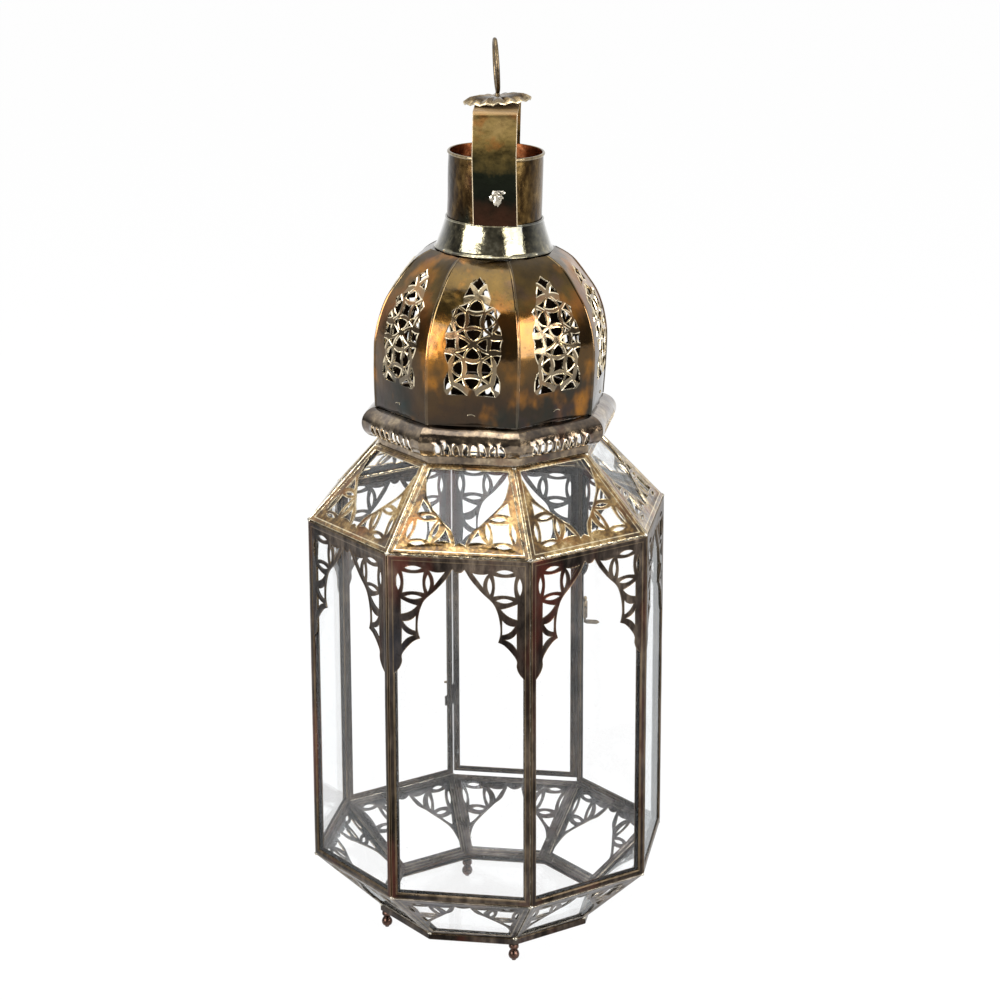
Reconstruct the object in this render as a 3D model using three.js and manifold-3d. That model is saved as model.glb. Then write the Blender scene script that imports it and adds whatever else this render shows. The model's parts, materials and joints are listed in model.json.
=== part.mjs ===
// A Moroccan lantern of glass and pierced brass sheet: an upright octagon of panes between two slanted rings
// of panes, under a pierced dome with a chimney, a carrying strap and a hanging ring. The back pane is a door.
// Millimetres, +Z up. The origin is under the middle of the lantern, at the height of its feet. The door faces +Y.
import * as THREE from 'three';
import { mergeVertices } from 'three/addons/utils/BufferGeometryUtils.js';
import Module from 'manifold-3d';

// General sizes
const sides = 8;
const clearance = 0.3; // left between two pieces that touch

// Body heights and radii; a radius is measured from the centre to a corner
const footHeight = 12;
const floorFrameHeight = 4.5;
const skirtRise = 41;
const wallHeight = 231.7;
const shoulderRise = 47.7;
const floorRadius = 75;
const wallRadius = 119;
const shoulderRadius = 74.3;

// Folded metal channel round each pane
const cameWidth = 4;
const cameWall = 0.8;
const cameRim = 1; // metal outside the edge of the glass
const glassThickness = 1.8;

// Pierced corners. A pattern is drawn in steps of its pitch from the crossing of strips nearest the corner.
const tallPitch = 17.3; // spacing of the crossings on a wall
const tallColumn = 8.1; // side of a wall to its nearest crossing
const tallRow = 8.9; // wide end of a wall to its nearest crossing
const shortPitch = 15.8; // the same on the shoulder and the skirt
const shoulderColumn = 8.5;
const skirtColumn = 6.7;
const shortRow = 8.6;
const strip = 2.1; // metal left between two holes
const lensOut = 3.3; // how far the outer arc of a lens bows away from the line between its crossings
const lensIn = 1.7; // the same for its inner arc
const lensTip = 3.1; // crossing to the tip of the hole
const railDepth = 9.8; // wide end of the pane to the foot of the scalloped rail
const arcSteps = 2;

// Door at the back
const doorSideGap = 0.9;
const doorTopGap = 0.9;
const doorBottomGap = 2.6;
const hingeStandoff = 2.4; // hinge line outside the corner
const knuckleRadius = 1.9;
const knuckleLength = 7;
const hingePinRadius = 0.8;
const hingeBoreRadius = 1.15;
const hingePinTail = 4.5;
const knuckleLeaf = 6;
const leafSheet = 0.75;
const leafGap = 0.15; // between the leaf and the face of the other pane
const leafSink = 0.2; // how deep the leaf is soldered into its own pane
const hingePinHead = 0.4; // between the upper knuckle and the bent end of the pin
const lowerHingeHeight = 52.3; // foot of the lower knuckle above the foot of the wall
const upperHingeHeight = 164.8;

// Turn wire that holds the door shut
const latchHeight = 116.8; // height of the paddle above the foot of the wall
const latchWireRadius = 0.75;
const latchBoreRadius = 1.1;
const latchTubeRadius = 1.8;
const latchTubeLength = 12;
const latchTubeRise = 4.5; // bottom of the tube above the bottom of the paddle
const latchKnobRadius = 1.6;
const latchStandoff = 3;
const latchOffset = 1.2; // along the neighbouring wall, away from the door
const paddleLength = 10;
const paddleHeight = 3;
const paddleThickness = 1;

// Feet
const footBallRadius = 3.65;
const footCollarRadius = 3.3;
const footNubRadius = 1.4;
const footInset = 4.2; // from the corner of the floor towards the centre

// Rolled bead on the shoulder
const beadTubeRadius = 10;
const beadInset = 0.8; // middle of the roll in from the top of the shoulder
const beadSheet = 1;
const beadFlange = 4.6;
const beadSlots = 7;
const beadSlotPitch = 6.6;
const beadSlotWidth = 3.2;
const beadSlotHeight = 7.5;

// Dome
const domeSheet = 1;
const domeOverhang = 1.5; // foot of the dome outside the middle of the roll
const domeTopRadius = 40.6;
const domeCurve = [ // height above the bottom of the dome, and share of the way from its top radius to its foot
  [0, 1], [40.5, 1.029], [62, 0.901], [80, 0.605], [92, 0.328], [99.2, 0],
];
const domeThroat = 33;
const seamWidth = 1.8;
const seamHeight = 1;
const domeStars = [22.5, 52.8, 80.4]; // heights of the points where the triangles of the pattern meet
const domeReach = 15.1; // across, from the middle of a square to the place where triangles meet
const domeSquare = 5.8; // half the side of a square of the pattern, to the middle of its strips
const domeStrip = 1.7;
const domeTipRise = 10; // top of the pattern above the highest star
const domeTipWidth = 7.2;

// Lean of the hand-soldered crown
const beadShift = 1.5;
const crownShift = 4.2;
const crownLean = 1.6;
const leanTowards = 9.5; // degrees from +X towards +Y

// Collar, chimney and strap
const collarLipRadius = 37.9;
const collarFootRadius = 36.4;
const collarTopRadius = 31.1;
const collarRise = 20.2;
const chimneyRadius = 30;
const chimneySheet = 0.8;
const chimneyRise = 41.9; // above the collar
const chimneyInsert = 3.5;
const chimneyRim = 0.9; // how far the rolled rim stands out
const strapWidth = 27.8;
const strapSheet = 1;
const strapRise = 91.6; // top of the strap above the foot of the collar
const strapFoot = 18; // bottom of its legs above the foot of the collar
const strapTurn = 7; // degrees about the upright
const strapCorner = 4;
const rivetHeight = 38; // above the foot of the collar
const rivetRadius = 1.2;
const rivetHeadRadius = 2.5;

// Rosette and hanging ring
const rosetteRadius = 21.3;
const rosetteSheet = 0.8;
const rosetteRise = 3.4;
const rosetteFlutes = 16;
const rosetteTilt = 6;
const rosetteHoleRadius = 2.3;
const ringWireRadius = 1.35;
const ringWidth = 21.5; // between the middles of the two strands
const ringHeight = 32.5;
const ringTurn = 14; // degrees of the loop about the upright at rest
const ringLean = 4.5;
const ringNutRadius = 3;
const ringNutHeight = 1.4;

const half = Math.PI / sides;
const spread = Math.tan(half); // half the width of a panel over its distance from the axis
const toApothem = Math.cos(half);
const pocketDepth = glassThickness + 2 * clearance;
const cameDepth = 2 * cameWall + pocketDepth;
const floorZ = footHeight;
const skirtZ = floorZ + floorFrameHeight;
const wallZ = skirtZ + skirtRise;
const shoulderZ = wallZ + wallHeight;
const crownZ = shoulderZ + shoulderRise;
const radians = THREE.MathUtils.degToRad;

const metal = (color, roughness) => new THREE.MeshStandardMaterial({ color, roughness, metalness: 1 });
const finishes = {
  wall: metal('#4b423c', 0.45),
  shoulder: metal('#8f6a34', 0.4),
  dome: metal('#6b5431', 0.35),
  polished: metal('#9b8458', 0.25),
  copper: metal('#7d4a35', 0.4),
  wire: metal('#5d5140', 0.4),
  glass: new THREE.MeshStandardMaterial({ color: '#e9f0ee', roughness: 0.05, transparent: true, opacity: 0.3 }),
};

const wasm = await Module();
wasm.setup();

// A closed geometry as a solid for joining and cutting.
function solidOf(geometry) {
  const bare = geometry.clone();
  bare.deleteAttribute('normal');
  bare.deleteAttribute('uv');
  const merged = mergeVertices(bare, 1e-4);
  return new wasm.Manifold(new wasm.Mesh({
    numProp: 3,
    vertProperties: new Float32Array(merged.attributes.position.array),
    triVerts: new Uint32Array(merged.index.array),
  }));
}

function geometryOf(solid) {
  const { vertProperties, triVerts } = solid.getMesh();
  const geometry = new THREE.BufferGeometry();
  geometry.setAttribute('position', new THREE.BufferAttribute(vertProperties, 3));
  geometry.setIndex(new THREE.BufferAttribute(triVerts, 1));
  geometry.computeVertexNormals();
  return geometry;
}

// A flat outline drawn in x and y, as a prism between two heights.
function prism(points, from, to) {
  const shape = new THREE.Shape(points.map(([x, y]) => new THREE.Vector2(x, y)));
  return new THREE.ExtrudeGeometry(shape, { depth: to - from, bevelEnabled: false }).translate(0, 0, from);
}

// A solid through a stack of rings that all have the same number of points.
function loft(rings) {
  const count = rings[0].length;
  const points = rings.flat();
  const index = [];
  for (let level = 0; level < rings.length - 1; level += 1) {
    for (let i = 0; i < count; i += 1) {
      const a = level * count + i;
      const b = level * count + (i + 1) % count;
      index.push(a, b, b + count, a, b + count, a + count);
    }
  }
  const top = (rings.length - 1) * count;
  for (let i = 1; i < count - 1; i += 1) {
    index.push(0, i + 1, i);
    index.push(top, top + i, top + i + 1);
  }
  return indexed(points, index);
}

// A tube of any section along a closed path: the rings join from the last back to the first.
function closedLoft(rings) {
  const count = rings[0].length;
  const index = [];
  rings.forEach((ring, level) => {
    const next = (level + 1) % rings.length;
    for (let i = 0; i < count; i += 1) {
      const j = (i + 1) % count;
      index.push(level * count + i, level * count + j, next * count + j);
      index.push(level * count + i, next * count + j, next * count + i);
    }
  });
  return indexed(rings.flat(), index);
}

function indexed(points, index) {
  const geometry = new THREE.BufferGeometry();
  geometry.setAttribute('position', new THREE.Float32BufferAttribute(points.flat(), 3));
  geometry.setIndex(index);
  geometry.computeVertexNormals();
  return geometry;
}

// Points from one place towards another on an arc that bows to the left of the way; the last point is left out.
function arc([x1, y1], [x2, y2], bow, steps = arcSteps) {
  const points = [];
  for (let i = 0; i < steps; i += 1) {
    const t = i / steps;
    const lift = 4 * bow * t * (1 - t) / Math.hypot(x2 - x1, y2 - y1);
    points.push([x1 + (x2 - x1) * t + (y1 - y2) * lift, y1 + (y2 - y1) * t + (x2 - x1) * lift]);
  }
  return points;
}

// A hole with curved sides through its corners.
const curvedHole = (corners, bows) => corners.flatMap(
  (corner, i) => arc(corner, corners[(i + 1) % corners.length], bows[i], bows[i] === 0 ? 1 : arcSteps),
);

// The hole in a lens between two crossings. The middle of its unit lies to the left of the way.
function lensHole([x1, y1], [x2, y2]) {
  const length = Math.hypot(x2 - x1, y2 - y1);
  const along = [(x2 - x1) / length, (y2 - y1) / length];
  const shift = (lensOut - lensIn) / 2;
  const tip = (distance) => [
    x1 + along[0] * distance + along[1] * shift, y1 + along[1] * distance - along[0] * shift,
  ];
  const bow = (lensOut + lensIn - strip) / 2;
  return curvedHole([tip(lensTip), tip(length - lensTip)], [bow, bow]);
}

const cutFrom = (solid, cuts) => cuts.reduce((left, cut) => left.subtract(solidOf(cut)), solid);

// One full unit of a pattern: a square and the four lenses round it, then the triangle beside it. A place in a
// pattern is in steps of its pitch from the crossing nearest the corner of the pane.
function unitHoles(at) {
  const [x1, y1] = at(0, 0).map((value) => value + 0.9 * strip);
  const [x2, y2] = at(1, 1).map((value) => value - 0.9 * strip);
  return [
    [[x1, y1], [x2, y1], [x2, y2], [x1, y2]],
    lensHole(at(0, 0), at(1, 0)),
    lensHole(at(1, 0), at(1, 1)),
    lensHole(at(1, 1), at(0, 1)),
    lensHole(at(0, 1), at(0, 0)),
    curvedHole([at(1.12, 0.06), at(1.7, 0.06), at(1.3, 0.6)], [0, 0, -1]),
  ];
}

const pattern = (column, row, pitch, triangles, edge) => {
  const at = (across, down) => [column + across * pitch, row + down * pitch];
  return {
    holes: [...unitHoles(at), ...triangles.map((corners) => corners.map((corner) => at(...corner)))],
    edge: edge.map((corner) => at(...corner)),
  };
};

// The pierced corner of a tall pane runs down its side to a cusp and a solid drop.
const tallCorner = pattern(tallColumn, tallRow, tallPitch, [
  [[0.05, 1.15], [0.62, 1.38], [0.05, 1.72]],
  [[0.12, 1.99], [0.58, 1.77], [0.57, 2.34]],
  [[0.06, 2.24], [0.5, 2.5], [0.05, 2.86]],
], [
  [1.9, 0.01], [1.7, 0.32], [1.33, 0.76], [0.93, 1.14], [0.76, 1.48], [0.68, 1.86], [0.65, 2.2], [0.74, 2.62],
  [0.51, 2.73], [0.25, 2.98], [0.06, 3.27], [0.06, 3.53], [-0.02, 3.76], [-0.16, 3.94],
]);

// The pierced corner of a slanted pane has one triangle past its unit.
const shortCorner = (column) => pattern(column, shortRow, shortPitch, [
  [[0.02, 1.36], [0.5, 1.41], [0.02, 1.84]],
], [
  [1.99, 0.05], [1.67, 0.54], [1.29, 0.84], [1, 1.12], [0.75, 1.33], [0.55, 1.51], [0.26, 1.8], [0.08, 2.05],
  [-0.11, 2.49], [-0.2, 2.75],
]);

// A pane of the front side of the octagon and its channel, drawn flat: u across, v up the slope, n outward.
// Its edges are mitred on the planes that part it from its neighbours.
class Pane {
  constructor({ lowRadius, highRadius, z, rise, lowSlope, highSlope, lowGap, highGap, sideGap, wideEnd, corner }) {
    this.lowApothem = lowRadius * toApothem;
    this.z = z;
    const run = highRadius * toApothem - this.lowApothem;
    this.length = Math.hypot(run, rise);
    this.slopeOut = run / this.length;
    this.slopeUp = rise / this.length;
    this.lowSlope = lowSlope;
    this.highSlope = highSlope;
    this.lowGap = lowGap;
    this.highGap = highGap;
    this.sideGap = sideGap;
    this.wideEnd = wideEnd;
    this.corner = corner;
    this.matrix = new THREE.Matrix4().makeBasis(
      new THREE.Vector3(1, 0, 0),
      new THREE.Vector3(0, -this.slopeOut, this.slopeUp),
      new THREE.Vector3(0, -this.slopeUp, -this.slopeOut),
    ).setPosition(0, -this.lowApothem, z);
  }

  halfWidth(v, n) {
    return spread * (this.lowApothem + this.slopeOut * v + this.slopeUp * n) - this.sideGap;
  }

  // The four corners of the pane at a depth, moved in from its edges, and clear of them up to a nearer depth too.
  outline(n, inset, nearer = n) {
    const low = this.lowGap + Math.max(this.lowSlope * n, this.lowSlope * nearer) + inset;
    const high = this.length - this.highGap + Math.min(this.highSlope * n, this.highSlope * nearer) - inset;
    const side = inset * Math.hypot(1, spread * this.slopeOut);
    const wLow = this.halfWidth(low, n) - side;
    const wHigh = this.halfWidth(high, n) - side;
    return [[-wLow, low], [wLow, low], [wHigh, high], [-wHigh, high]];
  }

  // A place of the pierced corner, from distances to the side edge and to the wide end.
  place([s, t], side) {
    const v = this.wideEnd === 'high' ? this.length - t : t;
    return [side * (this.halfWidth(v, 0) + this.sideGap - s), v];
  }

  // The clear opening in the front sheet.
  opening() {
    const half = this.corner.edge;
    const last = half[half.length - 1];
    const stile = [cameWidth, last[1] + (last[0] - cameWidth)];
    const bare = this.outline(0, cameWidth);
    const far = this.wideEnd === 'high' ? [bare[0], bare[1]] : [bare[3], bare[2]];
    const left = [...half, stile].map((point) => this.place(point, -1));
    const right = [...half, stile].map((point) => this.place(point, 1));
    const middle = [0, this.wideEnd === 'high' ? this.length - railDepth : railDepth];
    return [middle, ...left, far[0], far[1], ...right.reverse()];
  }

  // What is cut from a solid slab to leave the channel: the seat of the glass, the openings and the holes.
  cuts() {
    const cuts = [
      prism(this.outline(-cameDepth, cameRim, -cameWall), -cameWall - pocketDepth, -cameWall),
      prism(this.outline(-cameDepth, cameWidth, -cameWall), -cameDepth - 1, -cameWall - pocketDepth / 2),
      prism(this.opening(), -cameWall - pocketDepth / 2, 1),
    ];
    for (const side of [-1, 1]) {
      for (const hole of this.corner.holes) {
        cuts.push(prism(hole.map((point) => this.place(point, side)), -cameWall - pocketDepth / 2, 1));
      }
    }
    return cuts.map((cut) => cut.applyMatrix4(this.matrix));
  }

  frame() {
    const rings = [-cameDepth, 0].map((n) => this.outline(n, 0).map(([u, v]) => [u, v, n]));
    return cutFrom(solidOf(loft(rings).applyMatrix4(this.matrix)), this.cuts());
  }

  // The slab's section through the middle of the pane, as distances from the axis and heights.
  section() {
    const [low, high] = [0, -cameDepth].map((n) => this.outline(n, 0).map(([, v]) => [v, n]));
    return [low[0], low[2], high[2], high[0]].map(([v, n]) => [
      this.lowApothem + this.slopeOut * v + this.slopeUp * n, this.z + this.slopeUp * v - this.slopeOut * n,
    ]);
  }

  glass() {
    const outline = this.outline(-cameDepth, cameRim + clearance, -cameWall);
    return prism(outline, -cameWall - clearance - glassThickness, -cameWall - clearance).applyMatrix4(this.matrix);
  }

}

const bend = (radius, rise) => Math.atan2((wallRadius - radius) * toApothem, rise);
const shoulderBend = bend(shoulderRadius, shoulderRise);
const skirtBend = bend(floorRadius, skirtRise);
const mitreGap = (angle) => clearance / 2 / Math.cos(angle);

const wallSizes = {
  lowRadius: wallRadius,
  highRadius: wallRadius,
  z: wallZ,
  rise: wallHeight,
  lowSlope: -Math.tan(skirtBend / 2),
  highSlope: Math.tan(shoulderBend / 2),
  lowGap: mitreGap(skirtBend / 2),
  highGap: mitreGap(shoulderBend / 2),
  sideGap: mitreGap(half),
  wideEnd: 'high',
  corner: tallCorner,
};
const wallPane = new Pane(wallSizes);
const doorPane = new Pane({
  ...wallSizes,
  lowGap: doorBottomGap,
  highGap: doorTopGap,
  sideGap: doorSideGap,
});
const shoulderPane = new Pane({
  lowRadius: wallRadius,
  highRadius: shoulderRadius,
  z: shoulderZ,
  rise: shoulderRise,
  lowSlope: -Math.tan(shoulderBend / 2),
  highSlope: -Math.tan(shoulderBend),
  lowGap: mitreGap(shoulderBend / 2),
  highGap: 0,
  sideGap: mitreGap(half),
  wideEnd: 'low',
  corner: shortCorner(shoulderColumn),
});
const skirtPane = new Pane({
  lowRadius: floorRadius,
  highRadius: wallRadius,
  z: skirtZ,
  rise: skirtRise,
  lowSlope: Math.tan(skirtBend),
  highSlope: Math.tan(skirtBend / 2),
  lowGap: clearance / Math.cos(skirtBend),
  highGap: mitreGap(skirtBend / 2),
  sideGap: mitreGap(half),
  wideEnd: 'high',
  corner: shortCorner(skirtColumn),
});

const lantern = new THREE.Group();

function add(name, geometry, material, parent = lantern) {
  const mesh = new THREE.Mesh(geometry, material);
  mesh.name = name;
  parent.add(mesh);
  return mesh;
}

// Side k of the octagon, counted from the front towards +X; the door is side 4.
const sectors = Array.from({ length: sides }, (_, k) => {
  const group = new THREE.Group();
  group.rotation.z = 2 * half * k;
  lantern.add(group);
  return group;
});
const doorSide = sides / 2;

// Corner of the walls between side k and the next one, seen from above.
function wallCorner(k) {
  const angle = (2 * k + 1) * half - Math.PI / 2;
  return new THREE.Vector3(Math.cos(angle), Math.sin(angle), 0).multiplyScalar(wallRadius);
}

// Upright cylinder between two heights.
const cylinder = (radius, from, to, segments = 12) => new THREE.CylinderGeometry(radius, radius, to - from, segments)
  .rotateX(Math.PI / 2).translate(0, 0, (from + to) / 2);
const box = (x1, x2, y1, y2, z1, z2) => new THREE.BoxGeometry(x2 - x1, y2 - y1, z2 - z1)
  .translate((x1 + x2) / 2, (y1 + y2) / 2, (z1 + z2) / 2);

// Hinge line: outside the corner between the door and side 5.
const hingeLine = wallCorner(doorSide).multiplyScalar(1 + hingeStandoff / wallRadius);
const hingeHeights = [lowerHingeHeight, upperHingeHeight].map((height) => wallZ + height);

// A knuckle on the hinge line, with the leaf that joins it to its own pane. The leaf runs along the pane, which
// lies on the given side of it, and reaches into the sheet only past the edge of the pane.
function knuckle(from, leafAngle, side) {
  const to = from + knuckleLength;
  const face = hingeStandoff * toApothem;
  const near = side * (face - leafGap - leafSheet);
  const short = side * (face - leafGap);
  const deep = side * (face + leafSink);
  const leaf = (x, y) => box(x, knuckleLeaf, Math.min(near, y), Math.max(near, y), from, to).rotateZ(leafAngle);
  return solidOf(cylinder(knuckleRadius, from, to))
    .add(solidOf(leaf(0, short)))
    .add(solidOf(leaf(knuckleLeaf / 2, deep)))
    .subtract(solidOf(cylinder(hingeBoreRadius, from - 1, to + 1, 10)))
    .translate([hingeLine.x, hingeLine.y, 0]);
}

// Joins solids drawn in the lantern's frame to a piece of side k and gives the result in that side's own frame.
function withFittings(piece, fittings, k) {
  const turn = new THREE.Matrix4().makeRotationZ(-2 * half * k);
  return geometryOf(fittings.reduce(
    (solid, fitting) => solid.add(solidOf(geometryOf(fitting).applyMatrix4(turn))),
    solidOf(piece),
  ));
}

// Walls, with the two fixed knuckles on the wall beside the door.
const wallPiece = geometryOf(wallPane.frame());
for (let k = 0; k < sides; k += 1) {
  if (k !== doorSide) {
    const fittings = k === doorSide + 1 ? hingeHeights.map((z) => knuckle(z, -3 * Math.PI / 4, 1)) : [];
    add(`wall_frame_${k}`, withFittings(wallPiece, fittings, k), finishes.wall, sectors[k]);
    add(`wall_glass_${k}`, wallPane.glass(), finishes.glass, sectors[k]);
  }
}

// The door, with its own knuckles on top of the fixed ones.
const doorKnuckles = hingeHeights.map((z) => knuckle(z + knuckleLength + clearance, 0, -1));
const doorPiece = withFittings(geometryOf(doorPane.frame()), doorKnuckles, doorSide);
add('door_frame', doorPiece, finishes.wall, sectors[doorSide]);
add('door_glass', doorPane.glass(), finishes.glass, sectors[doorSide]);

// Hinge pins: a wire down through both knuckles, bent over at its top.
hingeHeights.forEach((z, i) => {
  const top = z + 2 * knuckleLength + clearance + hingePinHead + hingePinRadius;
  const tail = new THREE.CylinderGeometry(hingePinRadius, hingePinRadius, hingePinTail, 8)
    .rotateZ(Math.PI / 2).translate(-hingePinTail / 2, 0, top);
  const pin = solidOf(cylinder(hingePinRadius, z - 1, top + 0.7 * hingePinRadius, 8)).add(solidOf(tail));
  add(`hinge_pin_${i === 0 ? 'lower' : 'upper'}`, geometryOf(pin), finishes.wire).position.copy(hingeLine);
});

// The latch stands outside the other corner of the door, soldered to the neighbouring wall.
const latchSide = doorSide - 1;
const latchNormal = new THREE.Vector3(Math.sin(2 * half * latchSide), -Math.cos(2 * half * latchSide), 0);
const latchAlong = new THREE.Vector3(latchNormal.y, -latchNormal.x, 0);
const latch = new THREE.Group();
latch.position.copy(wallCorner(latchSide)).addScaledVector(latchNormal, latchStandoff)
  .addScaledVector(latchAlong, latchOffset).setZ(wallZ + latchHeight);
lantern.add(latch);
const tubeTop = latchTubeRise + latchTubeLength;
const saddle = box(-latchTubeRadius * 0.7, latchTubeRadius * 0.7, -latchStandoff + clearance, -latchTubeRadius * 0.8,
  latchTubeRise, tubeTop).rotateZ(2 * half * (latchSide - doorSide));
const latchTube = solidOf(cylinder(latchTubeRadius, latchTubeRise, tubeTop))
  .add(solidOf(saddle))
  .subtract(solidOf(cylinder(latchBoreRadius, latchTubeRise - 1, tubeTop + 1, 10)));
add('latch_tube', geometryOf(latchTube), finishes.wire, latch);
const knob = new THREE.SphereGeometry(latchKnobRadius, 8, 6).rotateX(Math.PI / 2)
  .translate(0, 0, tubeTop + clearance + latchKnobRadius);
const paddle = box(-latchWireRadius, paddleLength, -paddleThickness / 2, paddleThickness / 2, 0, paddleHeight);
const latchWire = solidOf(cylinder(latchWireRadius, paddleHeight / 2, tubeTop + clearance + latchKnobRadius, 8))
  .add(solidOf(knob)).add(solidOf(paddle));
add('latch_wire', geometryOf(latchWire), finishes.wire, latch);

// Shoulder: eight slanted panes, each in a channel of its own.
const shoulderPiece = geometryOf(shoulderPane.frame());
sectors.forEach((sector, k) => {
  add(`shoulder_frame_${k}`, shoulderPiece, finishes.shoulder, sector);
  add(`shoulder_glass_${k}`, shoulderPane.glass(), finishes.glass, sector);
});

// A section of apothem and height carried round the octagon.
const octagonal = (section) => closedLoft(Array.from({ length: sides }, (_, k) => section.map(([apothem, z]) => {
  const angle = -(2 * k + 1) * half;
  return [apothem / toApothem * Math.cos(angle), apothem / toApothem * Math.sin(angle), z];
})));

// Skirt: eight slanted panes in one ring of channels soldered corner to corner.
const skirtRing = sectors.reduce(
  (ring, _, k) => cutFrom(ring, skirtPane.cuts().map((cut) => cut.rotateZ(2 * half * k))),
  solidOf(octagonal(skirtPane.section())),
);
add('skirt_frame', geometryOf(skirtRing), finishes.wall);
sectors.forEach((sector, k) => add(`skirt_glass_${k}`, skirtPane.glass(), finishes.glass, sector));

// Floor: one octagonal pane in a flat channel.
const octagon = (radius, inset = 0) => Array.from({ length: sides }, (_, k) => {
  const angle = (2 * k + 1) * half;
  return [(radius - inset / toApothem) * Math.cos(angle), (radius - inset / toApothem) * Math.sin(angle)];
});
const floorLip = (floorFrameHeight - pocketDepth) / 2;
const floorFrame = solidOf(prism(octagon(floorRadius), floorZ, skirtZ))
  .subtract(solidOf(prism(octagon(floorRadius, cameRim), floorZ + floorLip, skirtZ - floorLip)))
  .subtract(solidOf(prism(octagon(floorRadius, cameWidth), floorZ - 1, skirtZ + 1)));
add('floor_frame', geometryOf(floorFrame), finishes.wall);
const floorGlassZ = floorZ + floorLip + clearance;
add('floor_glass', prism(octagon(floorRadius, cameRim + clearance), floorGlassZ, floorGlassZ + glassThickness),
  finishes.glass);

// A turned piece about the upright, from a profile of radius and height.
const turned = (profile, segments) => new THREE.LatheGeometry(
  profile.map(([radius, height]) => new THREE.Vector2(radius, height)), segments,
).rotateX(Math.PI / 2);

// Ball feet under every second corner of the floor.
const footTop = footHeight - clearance;
const footProfile = [
  [0, 0], [footNubRadius, 0], [footNubRadius, 0.8], [0.8 * footBallRadius, 1.8], [footBallRadius, 4],
  [0.8 * footBallRadius, 6.4], [0.5 * footBallRadius, 7.5], [0.8 * footCollarRadius, 8.4],
  [footCollarRadius, 9.6], [footCollarRadius, footTop], [0, footTop],
];
for (let i = 0; i < sides / 2; i += 1) {
  const angle = (4 * i + 1) * half;
  const foot = add(`foot_${i}`, turned(footProfile, 8), finishes.copper);
  foot.position.set(Math.cos(angle), Math.sin(angle), 0).multiplyScalar(floorRadius - footInset);
}

// Bead: sheet rolled to a half round, on a flange that stands on the shoulder.
const lean = new THREE.Vector3(Math.cos(radians(leanTowards)), Math.sin(radians(leanTowards)), 0);
const beadRadius = shoulderRadius - beadInset; // centre to corner of the middle of the roll
const beadApothem = beadRadius * toApothem;
const beadZ = clearance + beadFlange + beadTubeRadius; // middle of the roll above the shoulder
const rollPoint = (radius, turn) => [beadApothem + radius * Math.cos(turn), beadZ + radius * Math.sin(turn)];
const rollTurns = [-90, -57, -7, 24, 57, 90].map(radians); // the slots lie in one flat of the roll
const beadSection = [
  [beadApothem, clearance],
  ...rollTurns.map((turn) => rollPoint(beadTubeRadius, turn)),
  ...rollTurns.slice().reverse().map((turn) => rollPoint(beadTubeRadius - beadSheet, turn)),
  [beadApothem - beadSheet, beadZ - beadTubeRadius + beadSheet],
  [beadApothem - beadSheet, clearance],
];
const slotTurn = radians(-32);
const slotOutline = [[0, -1], [1, 0], [0, 1], [-1, 0]]
  .map(([x, y]) => [x * beadSlotWidth / 2, y * beadSlotHeight / 2]);
const [slotApothem, slotZ] = rollPoint(beadTubeRadius, slotTurn);
const slotMatrix = new THREE.Matrix4().makeBasis(
  new THREE.Vector3(1, 0, 0),
  new THREE.Vector3(0, Math.sin(slotTurn), Math.cos(slotTurn)),
  new THREE.Vector3(0, -Math.cos(slotTurn), Math.sin(slotTurn)),
).setPosition(0, -slotApothem, slotZ);
let bead = solidOf(octagonal(beadSection));
for (let k = 0; k < sides; k += 1) {
  for (let i = 0; i < beadSlots; i += 1) {
    const u = (i - (beadSlots - 1) / 2) * beadSlotPitch;
    const slot = prism(slotOutline.map(([x, y]) => [x + u, y]), -3 * beadSheet, 2 * beadSheet)
      .applyMatrix4(slotMatrix).rotateZ(2 * half * k);
    bead = bead.subtract(solidOf(slot));
  }
}
add('bead_ring', geometryOf(bead), finishes.polished).position.copy(lean).multiplyScalar(beadShift).setZ(crownZ);

// Dome: eight gores with raised seams. Its levels drift and tip a little towards the lean of the crown.
const domeZ = crownZ + beadZ + beadTubeRadius + clearance;
const domeFootRadius = beadRadius + domeOverhang;
const domeProfile = domeCurve.map(
  ([height, share]) => [height, domeTopRadius + share * (domeFootRadius - domeTopRadius)],
);
const domeHeight = domeProfile[domeProfile.length - 1][0];
const leanAxis = new THREE.Vector3(-lean.y, lean.x, 0);
function domeLevel(points, height) {
  const t = Math.min(Math.max(height / domeHeight, 0), 1);
  const shift = lean.clone().multiplyScalar(beadShift + (crownShift - beadShift) * t).setZ(height);
  return points.map(([x, y]) => new THREE.Vector3(x, y, 0)
    .applyAxisAngle(leanAxis, radians(crownLean) * t).add(shift).toArray());
}
const seamPoints = (radius) => Array.from({ length: sides }, (_, k) => {
  const angle = (2 * k + 1) * half;
  const corner = new THREE.Vector3(Math.cos(angle), Math.sin(angle), 0);
  const along = new THREE.Vector3(-corner.y, corner.x, 0).multiplyScalar(seamWidth / 2);
  const back = seamWidth / 2 * spread;
  const flat = corner.clone().multiplyScalar(radius - back);
  const ridge = corner.clone().multiplyScalar(radius + seamHeight);
  return [flat.clone().sub(along), ridge, flat.clone().add(along)].map((point) => [point.x, point.y]);
}).flat();
const inside = [[-1, domeProfile[0][1]], ...domeProfile.slice(0, -1), [domeHeight - domeSheet,
  domeProfile[domeProfile.length - 1][1] + domeSheet]];
const domeOuter = loft(domeProfile.map(([z, radius]) => domeLevel(seamPoints(radius), z)));
const domeInner = loft(inside.map(([z, radius]) => domeLevel(octagon(radius, domeSheet), z)));
const throat = cylinder(domeThroat, domeHeight - 5, domeHeight + 5, 24)
  .translate(lean.x * crownShift, lean.y * crownShift, 0);

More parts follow.
